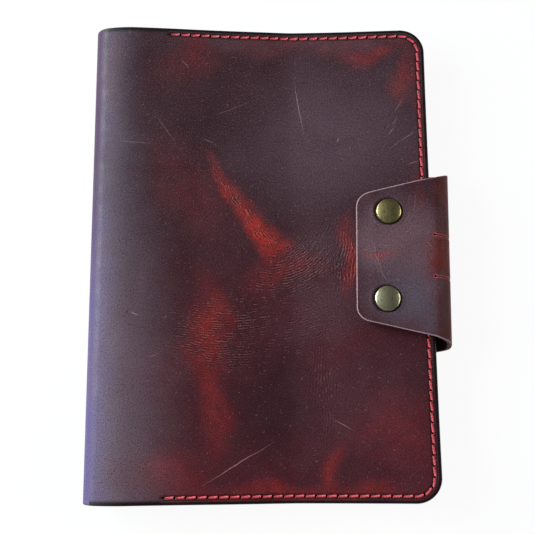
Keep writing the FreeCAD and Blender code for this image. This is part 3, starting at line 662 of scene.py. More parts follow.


# each kind of wear, sheen and darkening is made of soft ovals: place, turn, half length, half width
# and strength. pull is the red of pull-up wear, and shade darkens patches of the front. The haze,
# film
# and steel ovals are painted sheen: the window's grey and blue-grey reflection, painted onto the
# front and the strap.
WEAR_AND_SHEEN = {
    "shade": (
        (front_place(4, -66), 1.4, 46, 34, 0.75),
        (front_place(-44, -6), 1.2, 40, 22, 0.4),
        (front_place(-30, 62), 0.9, 40, 26, 0.35),
    ),
    "haze_sheen": (
        (front_place(32, 60), 0.3, 74, 60, 0.85),
        (front_place(10, 111), 0.0, 96, 12, 0.6),
        (front_place(34, 8), 0.0, 36, 26, 0.4),
        (front_place(30, -24), 0.6, 44, 26, 0.4),
        (front_place(40, -70), 0.6, 44, 36, 0.25),
        (front_place(-62, 70), 0.4, 18, 40, 0.2),
        (strap_place(28, -12), 0.8, 40, 30, 1.0),
        (strap_place(12, 2), 1.5, 42, 26, 0.8),
        (strap_place(28, 6), 0.2, 14, 8, 0.9),
    ),
    "film_sheen": (
        (strap_place(19, 8), 0.1, 34, 22, 0.65),
        (strap_place(28, 2), 0.1, 14, 14, 0.5),
    ),
    "steel_sheen": (
        (strap_place(24, -18), 0.3, 28, 19, 0.7),
        (strap_place(31, -28), 0.0, 14, 12, 0.45),
    ),
    "pull": (
        (front_place(-38, 34), -0.7, 42, 24, 0.13),
        (front_place(-29, -36), 1.57, 34, 14, 0.5),
        (front_place(-26, -66), 1.57, 44, 11, 0.38),
        (front_place(30, -101), 1.2, 16, 6, 0.45),
        (front_place(-49, -102), 0.1, 34, 16, 0.3),
        (front_place(-38, 100), 0.3, 26, 16, 0.2),
        (front_place(20, 109), 0.0, 70, 9, 0.15),
        (front_place(51, 104), 0.1, 26, 6, 0.4),
        (front_place(70, 90), 1.3, 22, 8, 0.35),
        (front_place(37.5, -1), 1.45, 25, 5.5, 0.8),
        (front_place(62, -80), 0.6, 30, 22, 0.18),
        (front_place(10, -112), 0.0, 84, 8, 0.45),
        (front_place(76, 20), 1.57, 120, 7, 0.15),
        (front_place(8, -7), 0.3, 28, 10, 0.3),
        (front_place(-78, 90), 1.57, 30, 8, 0.35),
        (strap_place(35, -4), 1.57, 20, 6, 0.15),
        (strap_place(13, 2.5), -0.1, 10, 3.5, 0.4),
        (strap_place(27, 26), 1.3, 12, 5, 0.12),
    ),
}


def rim_darkening(reach, v):
    """Darkening of a board's grain side, strongest at its cut edge and gone 1.5 mm in."""
    return 0.85 * smooth_step(1.5 - inset_of(reach, v) / (1.5 * MM))


def wear_and_sheen(u, v):
    """Share of each kind of wear, painted sheen and darkening at places on the sheet: the greatest
    of its soft ovals.

    The places are first shifted by a slow sine and a quick one, so that no oval has a plain rim.
    """
    slow, quick = 2.6 * MM, 1.3 * MM
    shifted_u = (u + slow * np.sin(v / (9 * MM) + 2 * np.sin(u / (23 * MM)))
                 + quick * np.sin(v / (3.7 * MM) + u / (5 * MM)))
    shifted_v = (v + slow * np.sin(u / (8 * MM) + 2 * np.sin(v / (19 * MM)))
                 + quick * np.sin(u / (4.1 * MM) - v / (6 * MM)))
    shares = {}
    for trait, ovals in WEAR_AND_SHEEN.items():
        share = np.zeros(len(u))
        for (middle_u, middle_v), turn, half_length, half_width, strength in ovals:
            off_u, off_v = shifted_u - middle_u, shifted_v - middle_v
            along_oval = (off_u * math.cos(turn) + off_v * math.sin(turn)) / (half_length * MM)
            across_oval = (off_v * math.cos(turn) - off_u * math.sin(turn)) / (half_width * MM)
            share = np.maximum(share, strength * smooth_step(1 - np.hypot(along_oval, across_oval)))
        shares[trait] = share
    return shares


# Wax leaves the grain side a soft, uneven half-gloss, duller where the strap is folded. Its dark
# plum goes redder towards the tail, and painted glints, a painted highlight on its fine grain, grow
# stronger towards the head, the window's side.
waxed_leather, tree, shader = new_material("waxed pull-up leather", IOR=1.45)
uv = add(tree, "UVMap", uv_map="leather").outputs[0]
given = {"Vector": uv, "Scale": 45.0, "Detail": 4.0, "Roughness": 0.6}
wander = add(tree, "TexNoise", given).outputs["Color"]
wander = add(tree, "VectorMath", {0: wander, 1: (0.5, 0.5, 0.5)}, operation="SUBTRACT").outputs[0]


def strays(tree, reach):
    """The place on the sheet, wandering by up to half of reach."""
    stray = add(tree, "VectorMath", {0: wander, "Scale": reach}, operation="SCALE").outputs[0]
    return add(tree, "VectorMath", {0: uv, 1: stray}, operation="ADD").outputs[0]


strayed = strays(tree, 14 * MM)
sheet_u, sheet_v = parted(tree, strayed)[:2]
broad = noise(tree, uv, 28 * MM, 4.0, 0.6)
middling = noise(tree, uv, 6 * MM, 4.0, 0.6)
fine = noise(tree, uv, 0.4 * MM, 2.0, 0.7)
headward = ramp(tree, sheet_v, -45 * MM, 40 * MM)
wear_and_sheen_share = {trait: attribute(tree, trait) for trait in WEAR_AND_SHEEN}
thinned = ramp(tree, noise(tree, strayed, 16 * MM, 4.0), 0.25, 0.6, 0.55, 1.0)
leather_colour = layered(
    tree, tinted(tree, headward, colour("4c1a23"), colour("3a232a")),
    (ramp(tree, broad, 0.35, 0.7, 0.0, 0.55), colour("2d171e")),
    (wear_and_sheen_share["shade"], colour("29131a")),
    # painted sheen: the haze, film and steel ovals lay the window's grey and blue-grey reflection
    # on
    (times(tree, wear_and_sheen_share["haze_sheen"], thinned), colour("55424a")),
    (wear_and_sheen_share["film_sheen"], colour("74585f")),
    (wear_and_sheen_share["steel_sheen"], colour("564f5b")),
)

# pull-up: bending and rubbing move the wax, and the leather shows red under it
main_streak, off_main = streak(
    tree, strayed, front_place(-12.4, 22.6), -0.93, 42 * MM, 6.5 * MM, 4.0 * MM, 3.6 * MM)
hot_streak = streak(
    tree, strayed, front_place(-4.8, 12.0), -0.86, 22 * MM, 7.0 * MM, 3.0 * MM, 1.5 * MM)[0]
pulled = most(tree, (wear_and_sheen_share["pull"], times(tree, main_streak, 0.6), hot_streak))
mottle = ramp(tree, noise(tree, strayed, 4 * MM, 5.0, 0.7), 0.28, 0.66)
pulled = times(tree, pulled, reckon(tree, "MULTIPLY_ADD", mottle, 0.65, 0.35))
into_fold = ramp(tree, sheet_u, float(U_FOLD_TOP - 3 * MM), float(U_FOLD_TOP + 6 * MM))
out_of_fold = ramp(tree, sheet_u, float(U_BACK), float(U_BACK + 12 * MM), 1.0, 0.0)
fold_red_and_shade = times(tree, into_fold, out_of_fold)
# the fold is painted dark red: the red of its pull-up, with painted shade on its side, which faces
# away from the window
fold_red_and_shade_tone = tinted(tree, ramp(tree, noise(tree, strayed, 12 * MM, 4.0), 0.35, 0.65),
                   colour("34161a"), colour("5a221e"))
rubbed = ramp(tree, reckon(tree, "ABSOLUTE", sheet_v), 3 * MM, 19 * MM, 0.5, 0.05)
leather_colour = layered(
    tree, leather_colour,
    (pulled, colour("ac2b20")),
    # the fold's pull-up red with painted shade
    (times(tree, fold_red_and_shade, 0.85), fold_red_and_shade_tone),
    (times(tree, rubbed, fold_red_and_shade), colour("7a2618")),
)

# painted sheen: the window's reflection off the spine's curve, painted pale on the spine, violet
# over its crest and red at its foot
spine_reach = ramp(tree, sheet_v, -60 * MM, 90 * MM, 48 * MM, 20 * MM)
off_crest = reckon(tree, "SUBTRACT", sheet_u, float(U_CREST))
spine_sheen = ramp(tree, reckon(tree, "DIVIDE", off_crest, spine_reach), -0.1, 1.0, 1.0, 0.0)
off_spine = reckon(tree, "SUBTRACT", sheet_u, float(U_SPINE))
spine_sheen = times(tree, spine_sheen, ramp(tree, off_spine, -30 * MM, 0.0))
spine_sheen = times(tree, spine_sheen, ramp(tree, noise(tree, strayed, 20 * MM), 0.25, 0.6, 0.75, 1.0))
leather_colour = layered(
    tree, leather_colour,
    (spine_sheen,
     tinted(tree, ramp(tree, sheet_v, -70 * MM, 60 * MM), colour("6e5f69"), colour("564e59"))),
    (times(tree, ramp(tree, off_crest, -10 * MM, 12 * MM, 0.95, 0.0), spine_sheen),
     tinted(tree, ramp(tree, sheet_v, -50 * MM, 50 * MM), colour("524a7c"), colour("381a44"))),
    (times(tree, ramp(tree, off_crest, -19 * MM, -14 * MM, 0.7, 0.0), spine_sheen), colour("4a1626")),
)

# wrinkles: ripples of a sine across each worn zone, broken up and bent by two shared noises
ruffle = times(tree, noise(tree, uv, 6 * MM, 4.0, 0.65), 22.0)
breaks = ramp(tree, noise(tree, strayed, 1.7 * MM, 3.0, 0.7), 0.36, 0.6)


def rippled(tree, across, spacing):
    """Sine of a distance across the ripples, which are so many mm apart."""
    phase = reckon(tree, "MULTIPLY_ADD", across, 2 * math.pi / (spacing * MM), ruffle)
    return reckon(tree, "SINE", phase)


def ripples(tree, zones):
    """Ripples of all the zones, each laid over the ones before it.

    A zone is (place, spin, half length, half width, strength, run, spacing). Its ripples lie along
    the heading run, or round the centre run, if that is a place.
    """
    total = 0.0
    for place, spin, half, wide, strength, run, spacing in zones:
        if isinstance(run, tuple):
            across = add(tree, "VectorMath", {0: uv, 1: (*run, 0.0)}, operation="DISTANCE")
        else:
            heading = (-math.sin(run), math.cos(run), 0.0)
            across = add(tree, "VectorMath", {0: uv, 1: heading}, operation="DOT_PRODUCT")
        wave = rippled(tree, across.outputs["Value"], spacing)
        zone = patch(tree, strayed, place, spin, half * MM, wide * MM)
        wave = times(tree, wave, times(tree, zone, strength))
        total = reckon(tree, "ADD", times(tree, reckon(tree, "SUBTRACT", 1.0, zone), total), wave)
    return times(tree, total, breaks)


wrinkles = ripples(tree, [
    (front_place(4, -70), 0.3, 70, 48, 0.35, 0.15, 1.2),
    (front_place(46, -50), 0.9, 52, 34, 0.35, 0.5, 1.2),
    (front_place(-16, -36), 0.1, 70, 40, 1.2, front_place(-22, 60), 1.15),
    (front_place(20, -34), 0.5, 40, 22, 0.8, front_place(-4, 44), 1.25),
    (front_place(14, -6), 0.45, 50, 22, 1.3, front_place(-0.5, 24), 1.2),
    (front_place(26, -66), 1.57, 48, 10, 0.75, 1.5, 1.3),
    (front_place(37, 0), 1.45, 30, 10, 1.3, 1.42, 1.5),
    (front_place(25, 10), 1.0, 15, 4, 0.8, 1.0, 2.0),
    (front_place(66, 70), 0.95, 34, 14, 0.45, 0.9, 1.8),
    (front_place(-36, 98), 0.9, 28, 16, 0.5, 1.0, 1.9),
    (front_place(-34, 50), -0.6, 36, 20, 0.4, -0.8, 1.7),
    (strap_place(10, -3), -1.3, 16, 5, 0.8, -1.3, 1.3),
    (strap_place(26, 4), 0.2, 20, 8, 0.35, 0.25, 1.5),
    (strap_place(27, 24), 1.4, 14, 6, 0.4, 1.3, 1.5),
])
along_streak = times(tree, rippled(tree, off_main, 1.2), times(tree, main_streak, breaks))
wrinkles = reckon(tree, "ADD", wrinkles, times(tree, along_streak, 0.9))
# crests are painted lighter, partly the pull-up of worn wrinkles and partly painted highlight where
# they catch the window's light; valleys are painted dark, painted shade in the creases
lit_and_worn_crests = times(tree, ramp(tree, wrinkles, 0.3, 0.9), 0.45)
shaded_valleys = times(tree, ramp(tree, wrinkles, -0.85, -0.25, 1.0, 0.0), 0.7)

# grit lies on the wax, and pores open in it, some darker and some lighter than the leather
dust = cells(tree, uv, 2.1 * MM)
grit = times(tree, ramp(tree, dust["Distance"], 0.05, 0.12, 1.0, 0.0),
             ramp(tree, parted(tree, dust["Color"])[0], 0.72, 1.0))
pores = cells(tree, strayed, 1.3 * MM)
pore_kind = parted(tree, pores["Color"])[0]
pore_spot = ramp(tree, pores["Distance"], 0.12, 0.3, 1.0, 0.0)
dark_pore = times(tree, pore_spot, ramp(tree, pore_kind, 0.55, 0.9, 0.0, 0.55))
light_pore = times(tree, pore_spot, ramp(tree, pore_kind, 0.1, 0.35, 0.32, 0.0))
# painted highlight: light glints on the fine grain, stronger towards the head, where the window is
painted_glints = times(tree, ramp(tree, fine, 0.3, 0.46, 0.24, 0.0),
               reckon(tree, "MULTIPLY_ADD", headward, 0.6, 0.4))

# scratches, each given as place, turn, half length and strength
quivered = strays(tree, 2.6 * MM)
front_scratches = (
    (15.6, 75, -1.43, 19, 0.75), (-15, -97.5, 0.53, 23, 0.9), (34, -80, -0.5, 7, 0.6),
    (-63, -28, -0.35, 3, 0.9), (-54, -47, 0.4, 3, 0.4), (34.3, 58.7, 1.1, 1.9, 1.0),
    (-50, 63, -0.95, 13, 0.3), (-66, 56, -0.08, 13, 0.3), (65, 76, 1.0, 5, 0.5),
    (68, 60, 0.5, 6, 0.5), (71, 47, 0.35, 5, 0.6), (61, 63, 0.9, 4, 0.5),
    (-29, 57, -0.4, 4, 0.4), (-41, 97, -0.8, 4, 0.6), (-18, 74, 0.4, 14, 0.25),
    (63, 68, 1.1, 4, 0.4), (62.5, 56, 0.7, 5, 0.3),
)
strap_scratches = (
    (8.0, 3.0, -1.35, 5, 0.3), (10.0, -4.0, -1.2, 7, 0.45), (11.8, -9.5, -1.0, 5, 0.35),
    (9.0, -5.0, -1.25, 6, 0.3), (24.0, 27.0, 1.35, 4, 0.2), (26.5, 24.0, 1.5, 5, 0.2),
    (12.0, 4.5, -0.1, 4, 0.2), (33.0, 5.0, -0.9, 5, 0.2),
)
scratches = most(tree, (
    times(tree, patch(tree, quivered, place, turn, half * MM, 0.33 * MM), strength)
    for place, turn, half, strength in
    [(front_place(x, y), *rest) for x, y, *rest in front_scratches]
    + [(strap_place(u, v), *rest) for u, v, *rest in strap_scratches]
))
leather_colour = layered(
    tree, leather_colour,
    # painted highlight and pull-up on the wrinkles' crests, painted shade in their valleys
    (lit_and_worn_crests, tinted(tree, pulled, colour("8e6465"), colour("e0705f"))),
    (shaded_valleys, colour("14070a")),
    (times(tree, grit, 0.75), colour("9d8a8c")),
    (dark_pore, colour("14070a")),
    (light_pore, tinted(tree, pulled, colour("8e6a6e"), colour("d86a58"))),
    (ramp(tree, fine, 0.46, 0.66, 0.0, 0.5), colour("1a0a0d")),
    # painted highlight: glints on the grain
    (painted_glints, colour("9c6a68")),
    (times(tree, scratches, 0.6), colour("c09a94")),
    # painted shade, near black: in the stitch holes, in painted shadow lines beside the stitches
    # and round each cap, and on the darkened rims of the boards
    (ramp(tree, attribute(tree, "pit"), 0.1, 0.7), colour("0a0304")),
)

grain = cells(tree, uv, 0.9 * MM, 0.9, feature="DISTANCE_TO_EDGE")["Distance"]
height = reckon(tree, "MULTIPLY_ADD", ramp(tree, grain, 0.0, 0.25), 0.3, times(tree, fine, 0.7))
height = reckon(tree, "MULTIPLY_ADD", wrinkles, 0.9, height)
feed(tree, shader, Base_Color=leather_colour, Normal=bumped(tree, height, 0.5, 0.16 * MM),
     Roughness=ramp(tree, middling, 0.3, 0.7, 0.40, 0.54),
     Specular_IOR_Level=reckon(tree, "MULTIPLY_ADD", fold_red_and_shade, -0.2, 0.3))

# the boards' edges were dyed and rubbed with wax, and are smooth, nearly black and half-gloss
burnished_edge, tree, shader = new_material("burnished leather edge", IOR=1.5, Roughness=0.45)
spot = add(tree, "TexCoord").outputs["Object"]
edge_tone = tinted(tree, noise(tree, spot, 3 * MM), colour("0c0607"), colour("1c0e10"))
feed(tree, shader, Base_Color=edge_tone,
     Normal=bumped(tree, noise(tree, spot, 0.8 * MM), 0.4, 0.1 * MM))

# the strap's edges were left as cut: a matt pale line at the grain side and brown-red below it,
# darker with depth, partly the core's own tone and partly painted shade under the edge, with red
# wax pulled over it on the fold and beside the pen slits
raw_edge, tree, shader = new_material("cut leather edge", IOR=1.45, Roughness=0.7)
spot = add(tree, "TexCoord").outputs["Object"]
sheet_u, sheet_v = parted(tree, add(tree, "UVMap", uv_map="leather").outputs[0])[:2]
onto_fold = ramp(tree, reckon(tree, "MULTIPLY_ADD", sheet_v, 0.16, sheet_u),
                 float(U_FOLD_TOP - 2 * MM), float(U_FOLD_TOP + 8 * MM))
by_slits = times(tree, ramp(tree, reckon(tree, "ABSOLUTE", sheet_v), 14 * MM, 20 * MM, 1.0, 0.0),
                 ramp(tree, sheet_u, 10 * MM, 20 * MM))
edge_tone = layered(
    tree, tinted(tree, noise(tree, spot, 2 * MM), colour("7f6064"), colour("b5989b")),
    (onto_fold, colour("6a1f20")),
    (ramp(tree, attribute(tree, "deep"), 0.12, 0.4), colour("4a1519")),
    (by_slits, colour("9c4a48")),
)
feed(tree, shader, Base_Color=edge_tone,
     Normal=bumped(tree, noise(tree, spot, 0.6 * MM), 0.5, 0.1 * MM))

# inside the strap the flesh side is painted dark, a painted shade for the hollow of the fold: matt,
# with its fibres laid down
strap_lining, tree, shader = new_material("strap lining painted dark for shade", IOR=1.45, Roughness=0.75)
spot = add(tree, "TexCoord").outputs["Object"]
lining_shade_tone = tinted(tree, noise(tree, spot, 6 * MM, 4.0), colour("2a0d0f"), colour("4a1a1b"))
feed(tree, shader, Base_Color=lining_shade_tone,
     Normal=bumped(tree, noise(tree, spot, 0.6 * MM, 4.0), 0.6, 0.2 * MM))

# elsewhere the flesh side is bare: a matt brown suede, lighter where its nap stands up
flesh_side, tree, shader = new_material("leather flesh side", IOR=1.45, Roughness=0.8)
spot = add(tree, "TexCoord").outputs["Object"]
nap = noise(tree, spot, 0.6 * MM, 4.0)
flesh_tone = tinted(tree, noise(tree, spot, 12 * MM, 4.0), colour("5c2f2c"), colour("7a4640"))
flesh_tone = tinted(tree, ramp(tree, nap, 0.3, 0.7, 0.0, 0.4), flesh_tone, colour("8f5c54"))
feed(tree, shader, Base_Color=flesh_tone, Normal=bumped(tree, nap, 0.6, 0.2 * MM))

# ---------------------------------------------------------------------------------------------
# The two boards: the front and the back of the cover, with their free corners cut round and a row
# of stitch holes pricked along three sides. Beside the spine each runs on into it with no seam.
# ---------------------------------------------------------------------------------------------

ARC = math.radians(30)  # the bends are parted into pieces by such arcs
FIRST_ARCS = 1.6  # how many of them the piece next to the flat of the back takes up
HINGE_REACH = 6.0 * MM  # how far into a board from the spine's bends a point of its inner face is found
SPINE_STEP = 0.4 * MM
SIDE_EASE = 0.4 * MM  # how much wider at each side the strap's fold is than in the CAD model
back_finish = U_SPINE + FIRST_ARCS * ARC * LOW_RADIUS
front_start = U_TOP + (2 * ARC - BOW) * TOP_RADIUS
side_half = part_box("strap_fold_middle")[1].y + SIDE_EASE
root_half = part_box("strap_fold_lower")[1].y + SIDE_EASE


def inner_point(u):
    """Point of the sheet's inner face on the middle line, where a bend begins or ends."""
    return tuple(sheet_face(np.array(u), 0.0, LEATHER))


def lines_between(start, finish, step):
    """Evenly spaced values from start to finish, about a step apart."""
    return np.linspace(start, finish, max(2, round(abs(finish - start) / step) + 1))


def board_lines(length, bent):
    """Lines across a board: close where it is bent beside the spine, wide where it is flat."""
    flat = lines_between(3 * MM, length - bent, 3 * MM)
    return np.concatenate([flat, lines_between(length - bent, length, SPINE_STEP)[1:]])


def add_board(name, reach, u, v, triangles, joined):
    """A board, with painted shade at its stitch holes and beside its stitches, and darkened all
    along its rim, the strap's root included.
    """
    seam_shade_and_rim = np.maximum(seam_press(reach, v)[1], rim_darkening(reach, v))
    return add_leather(name, (u, v, triangles), outer_face, LEATHER, joined,
                       (waxed_leather, burnished_edge, flesh_side), {"pit": seam_shade_and_rim} | wear_and_sheen(u, v))


front_length = U_END - front_start
front_lines = board_lines(front_length, U_CREST - front_start)
reach, v, triangles = board_plan(front_length, front_lines, True)
front_board = add_board("front_outer_leather", reach, U_END - reach, v, triangles[:, ::-1],
                        joined_at(low=front_start))
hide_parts("front_leather")
inner_point(front_start)
inner_point(U_CREST + HINGE_REACH)
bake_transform(front_board)

back_length = back_finish - U_BACK
back_lines = board_lines(back_length, back_finish - U_SPINE)
reach, v, triangles = board_plan(back_length, back_lines, True, root_half)
back_board = add_board("back_outer_leather", reach, U_BACK + reach, v, triangles,
                       joined_at(U_BACK, back_finish))
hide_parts("back_leather")
inner_point(U_SPINE - HINGE_REACH)
inner_point(back_finish)
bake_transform(back_board)

# ---------------------------------------------------------------------------------------------
# The spine. The same sheet, bent round through half a turn over a former, with no stitching, so
# that its two strips carry only the marks of the bend.
# ---------------------------------------------------------------------------------------------


def within_sides(u, v):
    """True in from the head and the tail, where the spine is joined at both its ends."""
    return np.abs(v) < EDGE_V - EDGE_ROUND - TOUCH


for name, start, finish, joint, nodes in (
    ("spine_leather_low", back_finish, U_MIDDLE,
     ("spine_lower", "spine_middle"), ("spine_leather_lower",)),
    ("spine_leather_high", U_MIDDLE, front_start,
     ("spine_middle", "spine_upper"), ("spine_leather_middle", "spine_leather_upper")),
):
    plan = grid_plan(lines_between(start, finish, SPINE_STEP), edge_lattice)
    strip = add_leather(name, plan, outer_face, LEATHER, within_sides,
                        (waxed_leather, burnished_edge, flesh_side), wear_and_sheen(*plan[:2]))
    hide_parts(*nodes)
    inner_point(start)
    inner_point(finish)
    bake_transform(strip)

# ---------------------------------------------------------------------------------------------
# The strap. The sheet's narrow end, tapered and rounded at its tip, wraps round the fore-edge in a
# double fold. Two slits with punched ends cross the fold, and the band between them holds a pen.
# ---------------------------------------------------------------------------------------------

TIP_HALF = 28.75 * MM  # half the width, where the sides would meet a square tip
TIP_RADIUS = 7.4 * MM
TAPER = math.radians(14)
FINE_STEP, FLAP_STEP = 0.5 * MM, 1.1 * MM  # between the plan's rows
MERGED = 1e-7  # rows beside a slit are rounded to this length, so that none falls double
SLIT_V = 10.0 * MM
SLIT_HALF = 0.15 * MM
SLIT_SEEN = 8.3 * MM  # how much of a slit shows from above, in from the fold's outermost line
STOP_RADIUS = 0.5 * MM
HOLE_REACH = STOP_RADIUS + EDGE_ROUND  # of the plan's edge from the middle of a punched hole
slit_top = U_FOLD_TOP + FOLD_RADIUS * math.asin((FOLD_RADIUS - SLIT_SEEN) / FOLD_RADIUS)
slit_foot = U_FOLD_TOP + U_BACK - slit_top
fold_half = TIP_HALF + U_FOLD_TOP * math.tan(TAPER)


def strap_half(u):
    """Half the strap's width: the taper on the flap, and a slower widening round the fold."""
    return np.interp(u, [0.0, U_FOLD_TOP, (U_FOLD_SIDE + U_FOLD_LOW) / 2, U_BACK],
                     [TIP_HALF, fold_half, side_half, root_half])


def slit_half(u):
    """Half the gap of a slit, which opens into a round punched hole at each of its ends."""
    beside = np.minimum(np.abs(u - slit_top), np.abs(u - slit_foot))
    hole = np.sqrt(np.maximum(0.0, HOLE_REACH ** 2 - beside ** 2))
    inside = (u > slit_top) & (u < slit_foot)
    return np.maximum(hole, np.where(inside, SLIT_HALF + EDGE_ROUND, 0.0))


def cap_gap_shadow(u, v):
    """1 in the narrow gap round each snap's cap, where a painted shadow darkens the leather, and 0
    away from it.
    """
    return np.where(u < U_FOLD_TOP, bell(snap_distance(u, v), 0.3 * MM), 0.0)


def end_row(last):
    """Points across the strap at u = last, with the edges of any slit that crosses there."""
    end_half, end_gap = strap_half(last) - EDGE_ROUND, slit_half(np.array(last))
    end_v = end_half * strap_across[1:-1]
    if end_gap > 0:
        end_v = end_v[np.abs(np.abs(end_v) - SLIT_V) > end_gap + 0.3 * MM]
        cuts = [s * SLIT_V + e * end_gap for s in (-1, 1) for e in (-1, 1)]
        end_v = np.sort(np.concatenate([end_v, cuts]))
    return np.stack([np.full(len(end_v), last), end_v], axis=-1)


def slit_lines(start, finish, rows):
    """The sides of both slits between two rows, close together round the punched holes."""
    low, high = max(start, slit_top - HOLE_REACH), min(finish, slit_foot + HOLE_REACH)
    if low >= high:
        return []
    swing = HOLE_REACH * np.sin(np.linspace(-QUARTER, QUARTER, 13))
    fine = [slit_top + swing, slit_foot + swing, np.array([low, high]), rows]
    fine = np.unique(np.concatenate(fine).round(7))
    fine = np.clip(fine[(fine > low - MERGED) & (fine < high + MERGED)], low, high)
    return [np.stack([fine, centre + way * slit_half(fine)], axis=-1)
            for centre in (-SLIT_V, SLIT_V) for way in (-1, 1)]


def cap_rings():
    """Rings of points round both caps, so that the leather's dent there is smooth.

    A ring lies at the cap's radius and a little more or less on the bent strap. Its place on the
    flat sheet is found by taking the drift and the slip off it again, five times over.
    """
    swing = np.linspace(0, 2 * np.pi, 61)[:-1]
    rings = []
    for ring in (-1.4, -0.7, -0.35, 0.0, 0.35, 0.7, 1.2, 1.9, 2.6):
        for side, shift in ((-1, CAP_SHIFT[1]), (1, CAP_SHIFT[0])):
            aim_u = SNAP_X - TIP_X + shift + (CAP_RADIUS + ring * MM) * np.cos(swing)
            aim_v = side * SNAP_V + (CAP_RADIUS + ring * MM) * np.sin(swing)
            u, v = aim_u, aim_v
            for _ in range(5):
                u, v = aim_u - drift(u, v), aim_v - slip(u, v)
            rings.append(np.stack([u, v], axis=-1))
    return rings


strap_across = np.linspace(-1, 1, 33)
tip_reach = TIP_RADIUS - EDGE_ROUND
tip_centre = strap_half(TIP_RADIUS) - TIP_RADIUS / math.cos(TAPER)


def strap_plan(start, finish, step, with_tip):
    """Plan of a run of the strap, with its sides, its tip and the sides of its two slits."""
    rows = lines_between(start, finish, step)
    if with_tip:
        rows = rows[rows > TIP_RADIUS * (1 - math.sin(TAPER)) + 0.2 * MM]
    side = np.stack([rows, strap_half(rows) - EDGE_ROUND], axis=-1)

    # the outline: one side, the last row, the other side, and the tip or the first row
    if with_tip:
        swing = np.linspace(math.pi, math.pi / 2 + TAPER, 12)
        round_u = TIP_RADIUS + tip_reach * np.cos(swing)
        round_v = tip_centre + tip_reach * np.sin(swing)
        flat_v = np.linspace(-tip_centre, tip_centre, 22)[1:-1]
        first_end = [
            np.stack([round_u[::-1], -round_v[::-1]], axis=-1),
            np.stack([np.full_like(flat_v, EDGE_ROUND), flat_v], axis=-1),
            np.stack([round_u, round_v], axis=-1),
        ]
    else:
        first_end = [end_row(start)]
    outline = np.vstack([side, end_row(finish)[::-1], side[::-1] * [1, -1], *first_end])
    points, edges, count = [outline], [loop_edges(0, len(outline))], len(outline)
    for line in slit_lines(start, finish, rows):
        index = count + np.arange(len(line))
        points.append(line)
        edges.append(np.stack([index[:-1], index[1:]], axis=-1))
        count += len(line)

    # the lattice between, clear of the outline, the slits, the holes and the rings
    u, v = (line.ravel() for line in np.meshgrid(rows, strap_across, indexing="ij"))
    v = v * (strap_half(u) - EDGE_ROUND)
    off_slit = np.abs(v) - SLIT_V
    off_hole = np.minimum(np.hypot(u - slit_top, off_slit), np.hypot(u - slit_foot, off_slit))
    inner = strap_half(u) - EDGE_ROUND - np.abs(v) > 0.6 * MM
    inner &= np.abs(off_slit) > slit_half(u) + 0.4 * MM
    inner &= off_hole > HOLE_REACH + 0.4 * MM
    inner &= (u > start + 0.2 * MM) & (u < finish - 0.2 * MM)
    if with_tip:
        points += cap_rings()
        inner &= np.abs(snap_distance(u, v) - 0.6 * MM) > 2.5 * MM
    points.append(np.stack([u[inner], v[inner]], axis=-1))

    def keep(u, v):
        inside = np.abs(v) < strap_half(u) - EDGE_ROUND
        if with_tip:
            off_u, off_v = u - TIP_RADIUS, np.abs(v) - tip_centre
            corner = (off_v > 0) & (off_u * math.cos(TAPER) + off_v * math.sin(TAPER) < 0)
            inside &= ~corner | (np.hypot(off_u, off_v) < tip_reach)
        return inside & (np.abs(np.abs(v) - SLIT_V) > slit_half(u))

    return cut_plan(np.vstack(points), np.vstack(edges), keep)


FOLD_ARC = ARC * FOLD_RADIUS
fold_middle = (U_FOLD_TOP + U_BACK) / 2
strap_stops = (U_BACK, U_BACK - FIRST_ARCS * FOLD_ARC, fold_middle, U_FOLD_TOP + FOLD_ARC, 0.0)
strap_runs = (
    ("strap_root", "strap_fold_lower", "back_cover", "strap_fold_low"),
    ("strap_bend_low", "strap_fold_middle", "strap_fold_low", "strap_fold_mid"),
    ("strap_bend_high", "strap_fold_upper", "strap_fold_mid", "strap_fold_up"),
    ("strap_flap_leather", "strap_flap", "strap_fold_up", "flap"),
)
for (name, node, near, far), finish, start in zip(strap_runs, strap_stops, strap_stops[1:]):
    is_flap = node == "strap_flap"
    plan = strap_plan(start, finish, FLAP_STEP if is_flap else FINE_STEP, is_flap)
    run = add_leather(name, plan, outer_face, LEATHER, joined_at(start, finish),
                      (waxed_leather, raw_edge, strap_lining),
                      {"pit": cap_gap_shadow(*plan[:2])} | wear_and_sheen(*plan[:2]))
    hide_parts(node)
    bend_end = U_FOLD_TOP - FOLD_ARC if is_flap else start  # the flap itself stays straight
    inner_point(finish)
    inner_point(bend_end)
    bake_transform(run)

# ---------------------------------------------------------------------------------------------
# The pocket panels. A thinner panel of the same hide, flesh side out, is sewn inside each board
# along three sides. It is open towards the spine, where the notebook's boards slide in.
# ---------------------------------------------------------------------------------------------

PANEL = 1.4 * MM
POCKET = 1.0 * MM  # room under the panel for the notebook's board
POCKET_DEPTH = 130.0 * MM


def panel_face(sign, origin):
    """Inner face of a panel: tight on the board at the seam, and proud of it over the pocket.

    sign is 1 on the back and -1 on the front, and origin is the fore-edge's place on the sheet.
    """
    def face(reach, v):
        v = -sign * v
        room = POCKET * smooth_step((inset_of(reach, v) - SEAM_INSET - 0.8 * MM) / (4 * MM))
        press = seam_press(reach, v)[0]
        return sheet_face(origin + sign * reach, v, LEATHER + PANEL + room - 0.5 * press)
    return face


panel_lines = lines_between(3 * MM, POCKET_DEPTH, 3 * MM)[:-1]
for name, node, body, sign, origin in (
    ("back_pocket_leather", "back_pocket_panel", "back_cover", 1, U_BACK),
    ("front_pocket_leather", "front_pocket_panel", "front_cover", -1, U_END),
):
    plan = board_plan(POCKET_DEPTH, panel_lines, False)
    panel = add_leather(name, plan, panel_face(sign, origin), PANEL, joined_at(),
                        (flesh_side, burnished_edge, flesh_side))
    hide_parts(node)
    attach(panel, body)

